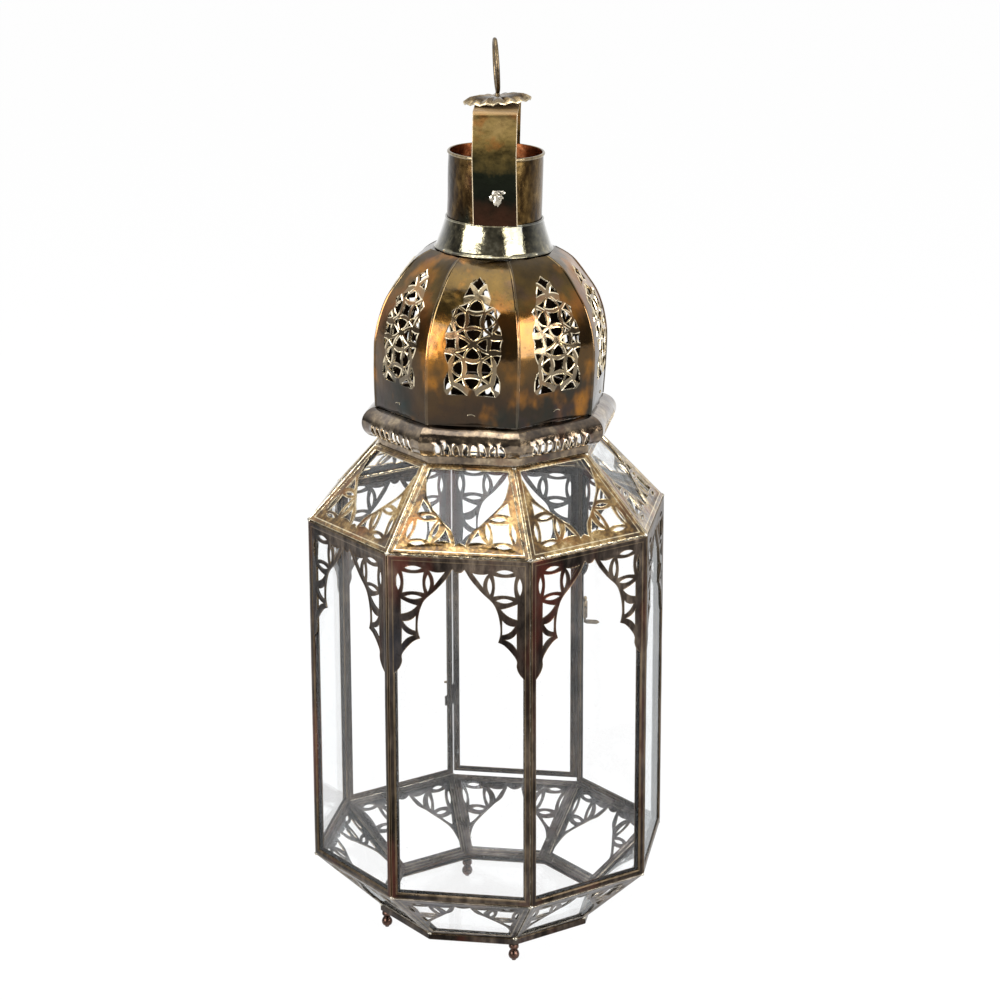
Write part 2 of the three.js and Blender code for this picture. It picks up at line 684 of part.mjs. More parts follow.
// Holes of the dome's pattern between two stars: a square, a triangle on each side of it and a slim hole past each
// corner. The highest cell ends in a diamond.
function domeHoles(lowStar, highStar, highest) {
  const middle = (lowStar + highStar) / 2;
  const squeeze = (highStar - lowStar) / 2 / domeReach;
  const edge = domeSquare - domeStrip / 2;
  const foot = domeSquare + domeStrip / 2;
  const point = domeReach - 1.5 * domeStrip;
  const far = domeReach - foot;
  const triangle = [[-edge + 0.4, foot], [edge - 0.4, foot], [0, point]];
  const slim = [[0.8 * domeStrip, domeReach - 1], [foot, foot], [domeReach - 1, 0.8 * domeStrip], [far, far]];
  const turns = [([x, y]) => [x, y], ([x, y]) => [y, -x], ([x, y]) => [-x, -y], ([x, y]) => [-y, x]];
  const square = [[-edge, -edge], [edge, -edge], [edge, edge], [-edge, edge]];
  const holes = [square, ...turns.map((turn) => triangle.map(turn)), ...turns.map((turn) => slim.map(turn))];
  const placed = holes.map((hole) => hole.map(([x, y]) => [x, y * squeeze + middle]));
  if (!highest) {
    return placed;
  }
  const side = highStar + 0.65 * domeTipRise;
  const diamond = [[0, highStar + 1.5 * domeStrip], [domeTipWidth / 2, side], [0, highStar + domeTipRise],
    [-domeTipWidth / 2, side]];
  return [...placed, diamond];
}
const fieldHoles = domeStars.slice(1).flatMap(
  (star, i) => domeHoles(domeStars[i], star, i === domeStars.length - 2),
);
const fieldMatrix = new THREE.Matrix4().makeBasis(
  new THREE.Vector3(1, 0, 0), new THREE.Vector3(0, 0, 1), new THREE.Vector3(0, -1, 0),
);
const fieldShift = lean.clone().multiplyScalar((beadShift + crownShift) / 2);
let dome = solidOf(domeOuter).subtract(solidOf(domeInner)).subtract(solidOf(throat));
for (let k = 0; k < sides; k += 1) {
  for (const hole of fieldHoles) {
    const cut = prism(hole, domeThroat, 2 * floorRadius).applyMatrix4(fieldMatrix).rotateZ(2 * half * k)
      .translate(fieldShift.x, fieldShift.y, 0);
    dome = dome.subtract(solidOf(cut));
  }
}
add('dome', geometryOf(dome), finishes.dome).position.z = domeZ;

// Crown: everything above the dome leans with it.
const crown = new THREE.Group();
crown.position.copy(lean).multiplyScalar(crownShift).setZ(domeZ + domeHeight + clearance);
crown.quaternion.setFromAxisAngle(leanAxis, radians(crownLean));
lantern.add(crown);

add('collar', turned([
  [collarLipRadius - 2.7, 0], [collarLipRadius, 0], [collarLipRadius, 1.2], [collarFootRadius, 1.8],
  [collarTopRadius, collarRise], [chimneyRadius + clearance, collarRise], [collarFootRadius - 1.2, 1.2],
  [collarLipRadius - 2.7, 0],
], 24), finishes.polished, crown);

const chimneyFoot = collarRise - chimneyInsert;
const chimneyTop = collarRise + chimneyRise;
const bore = chimneyRadius - chimneySheet;
const chimneyTube = turned([
  [bore, chimneyFoot], [chimneyRadius, chimneyFoot], [chimneyRadius, chimneyTop - 2],
  [chimneyRadius + chimneyRim, chimneyTop - 1.5], [chimneyRadius + chimneyRim, chimneyTop - 0.5],
  [chimneyRadius + 0.3, chimneyTop], [bore, chimneyTop - 0.3], [bore, chimneyFoot],
], 24);

// The strap is a band bent over the chimney. Its legs spread a little towards their feet.
const strap = new THREE.Group();
strap.rotation.z = radians(strapTurn);
crown.add(strap);
const legAtRim = chimneyRadius + chimneyRim + clearance;
const legAtFoot = collarTopRadius + (collarFootRadius - collarTopRadius) * (collarRise - strapFoot) / collarRise
  + 2 * clearance;
const legInside = (z) => legAtFoot + (legAtRim - legAtFoot) * (z - strapFoot) / (chimneyTop - strapFoot);
const strapSide = (offset) => {
  const top = strapRise - strapSheet + offset;
  const radius = strapCorner - strapSheet + offset;
  const middle = [legInside(strapRise - strapCorner) + offset - radius, top - radius];
  const bend = [0, 1, 2, 3].map((i) => {
    const turn = i * Math.PI / 6;
    return [middle[0] + radius * Math.cos(turn), middle[1] + radius * Math.sin(turn)];
  });
  return [[legInside(strapFoot) + offset, strapFoot], ...bend];
};
const strapHalf = strapSide(strapSheet);
const strapHollow = strapSide(0);
const mirrored = (points) => points.map(([y, z]) => [-y, z]).reverse();
const strapOutline = [...strapHalf, ...mirrored(strapHalf), ...mirrored(strapHollow).reverse(),
  ...strapHollow.slice().reverse()];
const strapMatrix = new THREE.Matrix4().makeBasis(
  new THREE.Vector3(0, 1, 0), new THREE.Vector3(0, 0, 1), new THREE.Vector3(1, 0, 0),
);
const strapBand = prism(strapOutline, -strapWidth / 2, strapWidth / 2).applyMatrix4(strapMatrix);
const rivetHole = new THREE.CylinderGeometry(rivetRadius + clearance, rivetRadius + clearance, 100, 8)
  .translate(0, 0, rivetHeight);
const shankHole = cylinder(ringWireRadius + clearance, strapRise - 3, strapRise + 3, 10);
add('strap', geometryOf(solidOf(strapBand).subtract(solidOf(rivetHole)).subtract(solidOf(shankHole))),
  finishes.polished, strap);
add('chimney', geometryOf(solidOf(chimneyTube).subtract(solidOf(rivetHole))), finishes.dome, strap);

// Rivets through each leg and the chimney behind it.
const rivetInside = bore * Math.cos(Math.PI / 24) - clearance;
const rivetOutside = legInside(rivetHeight) + strapSheet + clearance;
const rivet = new THREE.LatheGeometry([
  [0, rivetInside - 1.2], [1.6 * rivetRadius, rivetInside - 1.2], [1.6 * rivetRadius, rivetInside],
  [rivetRadius, rivetInside], [rivetRadius, rivetOutside], [rivetHeadRadius, rivetOutside],
  [0.8 * rivetHeadRadius, rivetOutside + 1.2], [0, rivetOutside + 1.7],
].map(([radius, y]) => new THREE.Vector2(radius, y)), 8);
add('rivet_back', rivet, finishes.polished, strap).position.z = rivetHeight;
const frontRivet = add('rivet_front', rivet, finishes.polished, strap);
frontRivet.position.z = rivetHeight;
frontRivet.rotation.z = Math.PI;

// Rosette: a fluted cap that sits crooked on top of the strap.
const rosetteSeat = strapRise + clearance + strapWidth / 2 * Math.sin(radians(rosetteTilt));
const petals = (radius, depth, z) => Array.from({ length: 2 * rosetteFlutes }, (_, i) => {
  const angle = i * Math.PI / rosetteFlutes;
  const out = radius + (i % 2 ? -depth : depth);
  return [out * Math.cos(angle), out * Math.sin(angle), z + (i % 2 ? -0.3 : 0.3) * depth];
});
const capRings = (drop) => [
  petals(rosetteRadius - drop / 2, 0.8, -drop), petals(0.86 * rosetteRadius, 0.4, 0.72 * rosetteRise - drop),
  petals(0.4 * rosetteRadius, 0, rosetteRise - drop),
];
const cap = solidOf(loft(capRings(0))).subtract(solidOf(loft(capRings(rosetteSheet))))
  .subtract(solidOf(cylinder(rosetteHoleRadius, 0, 2 * rosetteRise, 10)));
const rosette = add('rosette', geometryOf(cap), finishes.polished, crown);
rosette.quaternion.setFromAxisAngle(new THREE.Vector3(0, 1, 0).applyAxisAngle(new THREE.Vector3(0, 0, 1),
  radians(leanTowards)), -radians(rosetteTilt));
rosette.position.z = rosetteSeat;

// Hanging ring: a long wire loop on a shank that turns in the strap, held by its flattened end.
const ringFoot = rosetteSeat + rosetteRise + 1.2; // middle of the wire at the bottom of the loop
const loopRings = Array.from({ length: 24 }, (_, i) => {
  const angle = i * Math.PI / 12;
  const middle = new THREE.Vector3(0, ringWidth / 2 * Math.sin(angle), ringHeight / 2 * (1 - Math.cos(angle)));
  const outward = new THREE.Vector3(0, ringHeight * Math.sin(angle), -ringWidth * Math.cos(angle)).normalize();
  return Array.from({ length: 8 }, (__, j) => {
    const turn = -j * Math.PI / 4;
    const point = middle.clone().addScaledVector(outward, ringWireRadius * Math.cos(turn));
    point.x += ringWireRadius * Math.sin(turn);
    return point.toArray();
  });
});
const loop = closedLoft(loopRings).rotateY(-radians(ringLean)).translate(0, 0, ringFoot + ringWireRadius);
const nutTop = strapRise - strapSheet - clearance;
const ringSolid = solidOf(loop)
  .add(solidOf(cylinder(ringWireRadius, nutTop - ringNutHeight / 2, ringFoot + ringWireRadius, 8)))
  .add(solidOf(cylinder(ringNutRadius, nutTop - ringNutHeight, nutTop, 10)));
add('hanging_ring', geometryOf(ringSolid), finishes.wire, crown).rotation.z = radians(ringTurn);

lantern.updateMatrixWorld(true);
export default lantern;
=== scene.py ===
# %% [markdown]
# # A Moroccan lantern of glass and pierced brass
#
# The lantern is an upright octagon of glass panes, each held in a folded brass channel. A second ring of
# panes slants in above it and a third slants in below it, and their corners are pierced sheet. On top
# sits a rolled bead, a pierced dome of eight gores, a collar, a chimney, a carrying strap, a fluted cap
# and a wire ring.
#
# The measured solids come first. Every piece made here is in the same frame, in metres, with +Z up, the
# front facing -Y and the door facing +Y, so nothing has to be fitted by eye.

# %% Load the measured solids
import json
import math
import random

import bmesh
import bpy
import numpy as np
from mathutils import Matrix, Vector, noise
from mathutils.geometry import delaunay_2d_cdt


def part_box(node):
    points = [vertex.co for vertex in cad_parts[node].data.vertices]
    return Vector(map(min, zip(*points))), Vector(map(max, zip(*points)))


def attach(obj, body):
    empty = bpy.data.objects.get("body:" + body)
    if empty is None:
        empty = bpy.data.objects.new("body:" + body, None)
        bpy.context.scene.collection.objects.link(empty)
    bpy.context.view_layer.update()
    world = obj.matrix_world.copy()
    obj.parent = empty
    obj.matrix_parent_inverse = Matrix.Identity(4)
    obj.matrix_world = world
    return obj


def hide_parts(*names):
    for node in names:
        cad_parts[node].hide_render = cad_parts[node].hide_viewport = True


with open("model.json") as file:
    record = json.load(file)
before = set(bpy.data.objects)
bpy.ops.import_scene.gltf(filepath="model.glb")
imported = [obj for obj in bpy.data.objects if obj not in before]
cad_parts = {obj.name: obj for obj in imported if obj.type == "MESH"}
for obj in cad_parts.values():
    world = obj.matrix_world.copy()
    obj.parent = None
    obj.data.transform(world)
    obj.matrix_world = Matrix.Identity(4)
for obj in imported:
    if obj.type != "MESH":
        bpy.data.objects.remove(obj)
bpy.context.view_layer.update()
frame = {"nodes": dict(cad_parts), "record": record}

home = {node: body for body, nodes in frame["record"]["behaviour"]["bodies"].items() for node in nodes}

# %% [markdown]
# ## The camera
#
# A camera can be placed by eye, but the octagon gives a better way: its corners are known in space and
# visible in the photograph, so a lens, a distance and a direction can be solved from them. The result is
# a long lens about two metres away, a little to the right of the front and seventeen degrees above the
# horizon.

# %% Camera
MM = 0.001
LENS = 112.46
SENSOR = 36
CLIP_END = 50
CAMERA_DISTANCE = 2.031
CAMERA_TURN = math.radians(9.5)
CAMERA_RISE = math.radians(16.63)
CAMERA_ROLL = math.radians(0.17)
AIM_HEIGHT = 0.294
AIM_SIDE = 7.7 * MM

back = Vector((
    math.sin(CAMERA_TURN) * math.cos(CAMERA_RISE),
    -math.cos(CAMERA_TURN) * math.cos(CAMERA_RISE),
    math.sin(CAMERA_RISE),
))
right = Vector((math.cos(CAMERA_TURN), math.sin(CAMERA_TURN), 0))
up = back.cross(right)
rolled_right = right * math.cos(CAMERA_ROLL) - up * math.sin(CAMERA_ROLL)
rolled_up = right * math.sin(CAMERA_ROLL) + up * math.cos(CAMERA_ROLL)
turn = Matrix((rolled_right, rolled_up, back)).transposed().to_4x4()
spot = right * AIM_SIDE + Vector((0, 0, AIM_HEIGHT)) + back * CAMERA_DISTANCE

camera = bpy.data.objects.new("camera", bpy.data.cameras.new("camera"))
camera.data.lens = LENS
camera.data.sensor_width = SENSOR
camera.data.clip_end = CLIP_END
camera.matrix_world = Matrix.Translation(spot) @ turn
bpy.context.scene.collection.objects.link(camera)
bpy.context.scene.camera = camera
bpy.context.scene.view_settings.view_transform = "Standard"
print("camera at", tuple(round(value, 3) for value in spot))

# %% [markdown]
# ## A small language for finishes
#
# Nodes can be wired one by one, but a long finish then hides its idea. Here a socket is wrapped in a
# class that knows arithmetic, so that a mask reads as a formula: numbers pass through Math nodes, and
# vectors through Vector Math, where a tuple of three numbers stands for a fixed vector.

# %% Signals
class Signal:
    """An output socket with Python's arithmetic."""

    def __init__(self, shader, socket):
        self.shader = shader
        self.socket = socket

    def combined(self, operation, first, second):
        types = [value.socket.type for value in (first, second) if isinstance(value, Signal)]
        kind = "ShaderNodeVectorMath" if "VECTOR" in types else "ShaderNodeMath"
        return self.shader.node(kind, {"operation": operation}, {0: first, 1: second})

    def __add__(self, other):
        return self.combined("ADD", self, other)

    def __radd__(self, other):
        return self.combined("ADD", other, self)

    def __sub__(self, other):
        return self.combined("SUBTRACT", self, other)

    def __rsub__(self, other):
        return self.combined("SUBTRACT", other, self)

    def __mul__(self, other):
        return self.combined("MULTIPLY", self, other)

    def __rmul__(self, other):
        return self.combined("MULTIPLY", other, self)

    def __truediv__(self, other):
        return self.combined("DIVIDE", self, other)

    def __rtruediv__(self, other):
        return self.combined("DIVIDE", other, self)

    def rise(self, start, end, low=0.0, high=1.0):
        """A smooth step from low to high while this signal goes from start to end."""
        sockets = {"Value": self, "From Min": start, "From Max": end, "To Min": low, "To Max": high}
        return self.shader.node("ShaderNodeMapRange", {"interpolation_type": "SMOOTHSTEP"}, sockets)


print("a signal adds, subtracts, multiplies, divides and rises")

# %% [markdown]
# ## One method for every node
#
# Every node needs the same three steps: make it, set its options, then fill its sockets with numbers or
# links. A function for each kind of node would repeat them, so one method does them all. Two colours are
# mixed by a Mix node, because a Math node would turn them grey.

# %% Shaders
def colour(code):
    """A colour written as #rrggbb, in the linear values that a shader needs."""
    shares = [int(code[i:i + 2], 16) / 255 for i in (1, 3, 5)]
    linear = [share / 12.92 if share <= 0.04045 else ((share + 0.055) / 1.055) ** 2.4 for share in shares]
    return (*linear, 1.0)


def set_stops(ramp, stops):
    ramp.elements.remove(ramp.elements[1])
    ramp.elements[0].position = stops[0][0]
    ramp.elements[0].color = colour(stops[0][1])
    for position, tone in stops[1:]:
        ramp.elements.new(position).color = colour(tone)


class Shader:
    """The node tree of a material or a world."""

    def __init__(self, owner):
        owner.use_nodes = True
        self.tree = owner.node_tree
        self.tree.nodes.clear()

    def node(self, kind, settings=None, sockets=None, output=0):
        """Adds a node: its settings come first, then the value or the link of each socket."""
        made = self.tree.nodes.new(kind)
        for name, value in (settings or {}).items():
            if name == "stops":
                set_stops(made.color_ramp, value)
            else:
                setattr(made, name, value)
        for name, value in (sockets or {}).items():
            if isinstance(value, Signal):
                self.tree.links.new(value.socket, made.inputs[name])
            else:
                made.inputs[name].default_value = value
        return Signal(self, made.outputs[output])

    def axis(self, vector, name):
        return self.node("ShaderNodeSeparateXYZ", {}, {0: vector}, output=name)

    def mixed(self, factor, first, second):
        """Two colours mixed by a factor."""
        return self.node("ShaderNodeMix", {"data_type": "RGBA"}, {0: factor, 6: first, 7: second}, output=2)

    def layered(self, factor, under, over):
        """Two surfaces mixed by a factor."""
        return self.node("ShaderNodeMixShader", {}, {0: factor, 1: under, 2: over})

    def show(self, surface, kind="ShaderNodeOutputMaterial"):
        """Sends a surface to the output of the material or the world."""
        output = self.tree.nodes.new(kind)
        self.tree.links.new(surface.socket, output.inputs["Surface"])


print("pure red in linear values:", colour("#ff0000"))

# %% [markdown]
# ## Patterns in real sizes
#
# Old metal varies at several sizes at once: clouds of tarnish as wide as a thumb, dents of a few
# millimetres and specks like dust. A noise texture takes a scale, which says little, so clouds takes the
# size of a patch in metres. The place comes from the object's own coordinates, so that a pattern stays
# with a part that moves.

# %% Finishes and their patterns
SPECK, GRAIN = 0.0016, 0.0009
DENT_DEPTH = 0.0012


class Finish(Shader):
    """The shader of one material, with patterns in the object's own coordinates."""

    def __init__(self, name):
        self.material = bpy.data.materials.new(name)
        super().__init__(self.material)
        self.place = self.node("ShaderNodeTexCoord", output="Object")

    def clouds(self, size, detail=4.0, sharp=0.55, stretch=(1, 1, 1), shift=0.0):
        """Noise from 0 to 1 with patches of a size in metres; stretch makes them longer along an axis."""
        scales = tuple(1 / (size * value) for value in stretch)
        moved = self.place * scales + (shift, shift * 0.7, shift * 0.3)
        sockets = {"Vector": moved, "Scale": 1.0, "Detail": detail, "Roughness": sharp}
        return self.node("ShaderNodeTexNoise", {}, sockets)

    def height(self, low, high):
        """The share of the way from a low level to a high one."""
        return (self.axis(self.place, "Z") - low) / (high - low)

    def edge(self):
        """How much of a fold or a rim each face is, written when its mesh was made."""
        return self.node("ShaderNodeAttribute", {"attribute_name": "edge"}, output="Fac")

    def toned(self, mask, stops):
        return self.node("ShaderNodeValToRGB", {"stops": stops}, {"Fac": mask})

    def dented(self, strength, height, depth=DENT_DEPTH):
        return self.node("ShaderNodeBump", {}, {"Strength": strength, "Distance": depth, "Height": height})

    def metal(self, base, rough, dents, metallic=1.0, lacquer=0.0, lacquer_rough=0.06):
        """Finishes the material as metal, with clear lacquer over it where that isn't 0."""
        self.show(self.node("ShaderNodeBsdfPrincipled", {}, {
            "Base Color": base, "Metallic": metallic, "Roughness": rough, "Normal": dents,
            "Coat Weight": lacquer, "Coat Roughness": lacquer_rough,
        }))
        return self.material


print("specks are", SPECK * 1000, "mm wide and grains", GRAIN * 1000, "mm")

# %% [markdown]
# ## Aged brass
#
# The metal is thin brass sheet, darkened by heat, handling and lacquer. It could be painted as one brown,
# but it reads as metal only when its tone, gloss and surface change together. One function makes every
# brass finish: a ramp gives the tones of the tarnish, folds and rims are painted brighter, partly as rubbed
# metal and partly as painted highlight, and dents come from a bump.

# %% The brass recipe
VEINS = 0.35
GRIME = "#17110c"
HOLLOW = 0.007


def aged_brass(name, tones, rubbed_and_highlight, patch, gloss, dents, stains=(), stretch=(1, 1, 1), edge_share=0.75,
               shift=0.0, lacquer=0.0):
    """Metal with cloudy tarnish, stains of heat, dark specks and edges painted bright as rubbed wear and as
    painted highlight; a stain is its tone, its size, the start and end of its rise and its share."""
    finish = Finish(name)
    broad = finish.clouds(patch, 5, 0.6, stretch, shift)
    small = finish.clouds(patch / 6, 4, 0.6, stretch, shift + 3)
    base = finish.toned(broad.rise(0.3, 0.7) * (1 - VEINS) + small.rise(0.3, 0.7) * VEINS, tones)
    for index, (tone, size, start, end, share) in enumerate(stains):
        spread = finish.clouds(size, 3, 0.5, stretch, shift + 11 + 5 * index).rise(start, end, 0, share)
        base = finish.mixed(spread, base, colour(tone))
    specks = finish.clouds(SPECK, 3, 0.7, shift=shift + 7).rise(0.56, 0.72, 0, 0.5)
    base = finish.mixed(specks, base, colour(GRIME))
    # Folds and rims take the rubbed colour: partly rubbed wear, partly painted highlight.
    worn_and_highlight = finish.edge().rise(0.05, 0.5) * small.rise(0.3, 0.6, edge_share * 0.5, edge_share)
    base = finish.mixed(worn_and_highlight, base, colour(rubbed_and_highlight))
    rough = broad.rise(0.3, 0.75, gloss[0], gloss[1]) + specks * 0.25
    hollows = finish.clouds(HOLLOW, 2, 0.5, shift=shift + 2)
    grains = finish.clouds(GRAIN, 3, 0.6, shift=shift + 4)
    return finish.metal(base, rough, finish.dented(dents, hollows + grains * 0.12), lacquer=lacquer)


print("brass recipe ready")

# %% [markdown]
# ## The finishes of the walls, the skirt and the shoulder
#
# The walls went nearly black with golden edges and red-brown stains, the skirt below them is a little
# paler, and the shoulder kept an ochre gold under clear lacquer. Each is the same recipe with its own
# tones, stains and gloss. The shift moves the noise, so that no two finishes show the same clouds.

# %% Finishes of the panes
# The rubbed colour of each finish is partly rubbed wear and partly painted highlight along folds and rims.
WALL_BRASS = aged_brass(
    "wall_brass",
    [(0.0, "#100e0c"), (0.35, "#25201d"), (0.6, "#3f3731"), (0.85, "#5f544a"), (1.0, "#7a6d5f")],
    rubbed_and_highlight="#9a8566", patch=0.03, gloss=(0.24, 0.42), dents=0.3, stretch=(1, 1, 3),
    stains=[("#542a22", 0.03, 0.51, 0.69, 0.75), ("#45464c", 0.05, 0.55, 0.75, 0.5)], edge_share=0.32,
)
SKIRT_BRASS = aged_brass(
    "skirt_brass",
    [(0.0, "#1c1a1a"), (0.35, "#37322f"), (0.6, "#575251"), (0.85, "#77706c"), (1.0, "#958c84")],
    rubbed_and_highlight="#b0a48f", patch=0.03, gloss=(0.22, 0.42), dents=0.3,
    stains=[("#4b3a33", 0.03, 0.52, 0.7, 0.6), ("#5c5c66", 0.05, 0.55, 0.75, 0.5)], edge_share=0.45,
    shift=10,
)
SHOULDER_BRASS = aged_brass(
    "shoulder_brass",
    [(0.0, "#2a1c0f"), (0.3, "#584021"), (0.55, "#86683a"), (0.8, "#b49764"), (1.0, "#dcc79c")],
    rubbed_and_highlight="#fff0cc", patch=0.016, gloss=(0.12, 0.3), dents=0.6,
    stains=[("#8a5620", 0.02, 0.52, 0.7, 0.7), ("#1d140d", 0.012, 0.56, 0.72, 0.75)], shift=20, lacquer=0.6,
)
print("finishes so far:", [material.name for material in bpy.data.materials])

# %% [markdown]
# ## The finishes of the crown, the wires and the feet
#
# The bead and the collar were wiped bright and lacquered, the chimney is dark outside and copper-brown
# inside, and soot lies inside the dome. The ball feet are coppered, and the solder is a pale tin grey.

# %% Finishes of the crown and the small parts
# The rubbed colour of each finish is partly rubbed wear and partly painted highlight along folds and rims.
BEAD_BRASS = aged_brass(
    "bead_brass",
    [(0.0, "#2c231b"), (0.35, "#57493a"), (0.65, "#83715a"), (1.0, "#b9a688")],
    rubbed_and_highlight="#ffedd0", patch=0.03, gloss=(0.1, 0.22), dents=0.25,
    stains=[("#55525e", 0.035, 0.56, 0.72, 0.5), ("#5f3820", 0.02, 0.58, 0.72, 0.5)], shift=60, lacquer=0.8,
)
COLLAR_BRASS = aged_brass(
    "collar_brass",
    [(0.0, "#1f2119"), (0.4, "#4e4a36"), (0.7, "#877f62"), (1.0, "#c4bca0")],
    rubbed_and_highlight="#fff9e6", patch=0.02, gloss=(0.06, 0.16), dents=0.3,
    stains=[("#172624", 0.03, 0.54, 0.7, 0.7)], shift=80, lacquer=1.0,
)
CHIMNEY_BRASS = aged_brass(
    "chimney_brass",
    [(0.0, "#150e08"), (0.35, "#302312"), (0.65, "#523f22"), (1.0, "#7c643c")],
    rubbed_and_highlight="#efdcb4", patch=0.02, gloss=(0.14, 0.26), dents=0.3, stretch=(1, 1, 2), edge_share=0.5,
    stains=[("#3b1c20", 0.022, 0.56, 0.7, 0.5), ("#1a2622", 0.02, 0.58, 0.7, 0.5)], shift=100,
)
CHIMNEY_INSIDE = aged_brass(
    "chimney_inside",
    [(0.0, "#2c160c"), (0.5, "#713c20"), (1.0, "#b0744a")],
    rubbed_and_highlight="#d0a066", patch=0.02, gloss=(0.35, 0.55), dents=0.3, shift=110,
)
CAP_BRASS = aged_brass(
    "cap_brass",
    [(0.0, "#241a10"), (0.4, "#54432b"), (0.7, "#857050"), (1.0, "#b8a37c")],
    rubbed_and_highlight="#f5e4c0", patch=0.012, gloss=(0.18, 0.34), dents=0.3, edge_share=0.5, shift=120,
)
WIRE_BRASS = aged_brass(
    "wire_brass",
    [(0.0, "#241e18"), (0.5, "#5a4d3b"), (1.0, "#8c7a5c")],
    rubbed_and_highlight="#c4ae86", patch=0.01, gloss=(0.22, 0.4), dents=0.25, shift=130,
)
FOOT_COPPER = aged_brass(
    "foot_copper",
    [(0.0, "#120b08"), (0.4, "#30201b"), (0.7, "#513830"), (1.0, "#7d6054")],
    rubbed_and_highlight="#a88a78", patch=0.004, gloss=(0.2, 0.4), dents=0.3, shift=140,
)
SOLDER = aged_brass(
    "solder",
    [(0.0, "#4a463e"), (0.5, "#8d877a"), (1.0, "#cfc8b6")],
    rubbed_and_highlight="#ece4d2", patch=0.004, gloss=(0.15, 0.35), dents=0.6, shift=150,
)
SOOT = aged_brass(
    "soot",
    [(0.0, "#0e0a07"), (0.6, "#241a12"), (1.0, "#40301e")],
    rubbed_and_highlight="#6d5434", patch=0.02, gloss=(0.45, 0.65), dents=0.3, shift=160,
)
print("finishes so far:", len(bpy.data.materials))

# %% [markdown]
# ## The dome's heat colours
#
# Heat ran up the dome: it is dark brown at the foot, golden brown in the middle and darker again below
# the collar, under a thin lacquer. A ramp alone would draw rings, so the height is pushed about by large,
# soft noise, and more noise lets gold, teal and a dull plum bloom through.

# %% Dome finish
def dome_finish(low, high):
    finish = Finish("dome_brass")
    wander = finish.clouds(0.05, 3, 0.55, shift=41)
    small = finish.clouds(0.009, 5, 0.62, shift=44)
    height = finish.height(low, high)
    bands = [(0.0, "#2b2a24"), (0.2, "#403225"), (0.38, "#523f26"), (0.55, "#604523"), (0.7, "#865626"),
             (0.82, "#5d4923"), (1.0, "#352b1c")]
    base = finish.toned(height + (wander - 0.5) * 0.85 + (small - 0.5) * 0.22, bands)
    gold = finish.clouds(0.022, 3, 0.5, (1, 1, 1.5), 47).rise(0.52, 0.7, 0, 0.7)
    teal = finish.clouds(0.03, 3, 0.5, shift=52).rise(0.55, 0.7, 0, 0.65) * height.rise(0.75, 0.35)
    plum = finish.clouds(0.026, 3, 0.5, shift=58).rise(0.57, 0.72, 0, 0.45)
    specks = finish.clouds(SPECK, 3, 0.7, shift=61).rise(0.58, 0.74, 0, 0.5)
    # Rims and lattice strips take a near-white colour: partly rubbed wear, partly painted highlight.
    worn_and_highlight = finish.edge().rise(0.05, 0.6) * small.rise(0.3, 0.6, 0.45, 0.95)
    for amount, tone in ((gold, "#b07428"), (teal, "#1b2d2c"), (plum, "#4d3a3c"), (specks, "#15100b"),
                         (worn_and_highlight, "#fff0cf")):
        base = finish.mixed(amount, base, colour(tone))
    rough = wander.rise(0.3, 0.7, 0.08, 0.2) + specks * 0.2
    bumps = finish.clouds(0.012, 2, 0.5, shift=64) + finish.clouds(GRAIN, 3, 0.6) * 0.06
    return finish.metal(base, rough, finish.dented(0.35, bumps), lacquer=0.2, lacquer_rough=0.05)


dome_low, dome_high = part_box("dome")
DOME_BRASS = dome_finish(dome_low.z, dome_high.z)
print("dome from", round(dome_low.z, 4), "to", round(dome_high.z, 4))

# %% [markdown]
# ## The strap's own colours
#
# The carrying strap was heated from one end, so its colour runs down it in bands: golden olive with an
# orange flare at the top, a near-black green belt behind the rivet and a red-brown foot. Where it bends
# over under the cap, a pale colour with less metal and more roughness is painted in as painted light, so
# that the strip doesn't mirror the dark underside of the cap. A painted picture could hold this, but a ramp
# along the height with a wavering edge does the same and needs no file.

# %% Strap finish
def strap_finish(low, high):
    finish = Finish("strap_brass")
    height = finish.height(low, high)
    wander = finish.clouds(0.012, 4, 0.6, shift=5)
    bands = [(0.0, "#40291e"), (0.14, "#35251b"), (0.28, "#1a1c16"), (0.46, "#20231a"), (0.6, "#574a2a"),
             (0.76, "#8a7341"), (0.9, "#a68b57"), (1.0, "#6a5534")]
    base = finish.toned(height + (wander - 0.5) * 0.5, bands)
    flare = finish.clouds(0.011, 3, 0.5, shift=9).rise(0.5, 0.72, 0, 0.5) * height.rise(0.55, 0.7)
    # The strap's edges take a near-white colour: partly rubbed wear, partly painted highlight.
    worn_and_highlight = finish.edge().rise(0.1, 0.5, 0, 0.9)
    # Painted light: the flat top under the cap is lifted to a pale, dull colour instead of mirroring the
    # cap's dark underside.
    painted_light_under_cap = height.rise(0.96, 0.98)
    for amount, tone in ((flare, "#a9642c"), (worn_and_highlight, "#ffe9c4"), (painted_light_under_cap * 0.9, "#846a45")):
        base = finish.mixed(amount, base, colour(tone))
    rough = wander.rise(0.3, 0.7, 0.16, 0.34) + painted_light_under_cap * 0.3
    dents = finish.dented(0.3, finish.clouds(0.008, 2, 0.5), depth=0.001)
    return finish.metal(base, rough, dents, metallic=1 - painted_light_under_cap * 0.7)


strap_low, strap_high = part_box("strap")
STRAP_BRASS = strap_finish(strap_low.z, strap_high.z)
print("strap from", round(strap_low.z, 4), "to", round(strap_high.z, 4))

# %% [markdown]
# ## Glass
#
# The panes are thin window glass, dusty and slightly wavy. A solid glass shader bends every ray twice and
# makes slow, noisy pictures, and thin glass hardly bends light at all. So the pane mixes a clear surface
# with a mirror that grows towards a glancing view, and a little pale dust lies over both, more of it in
# some places.

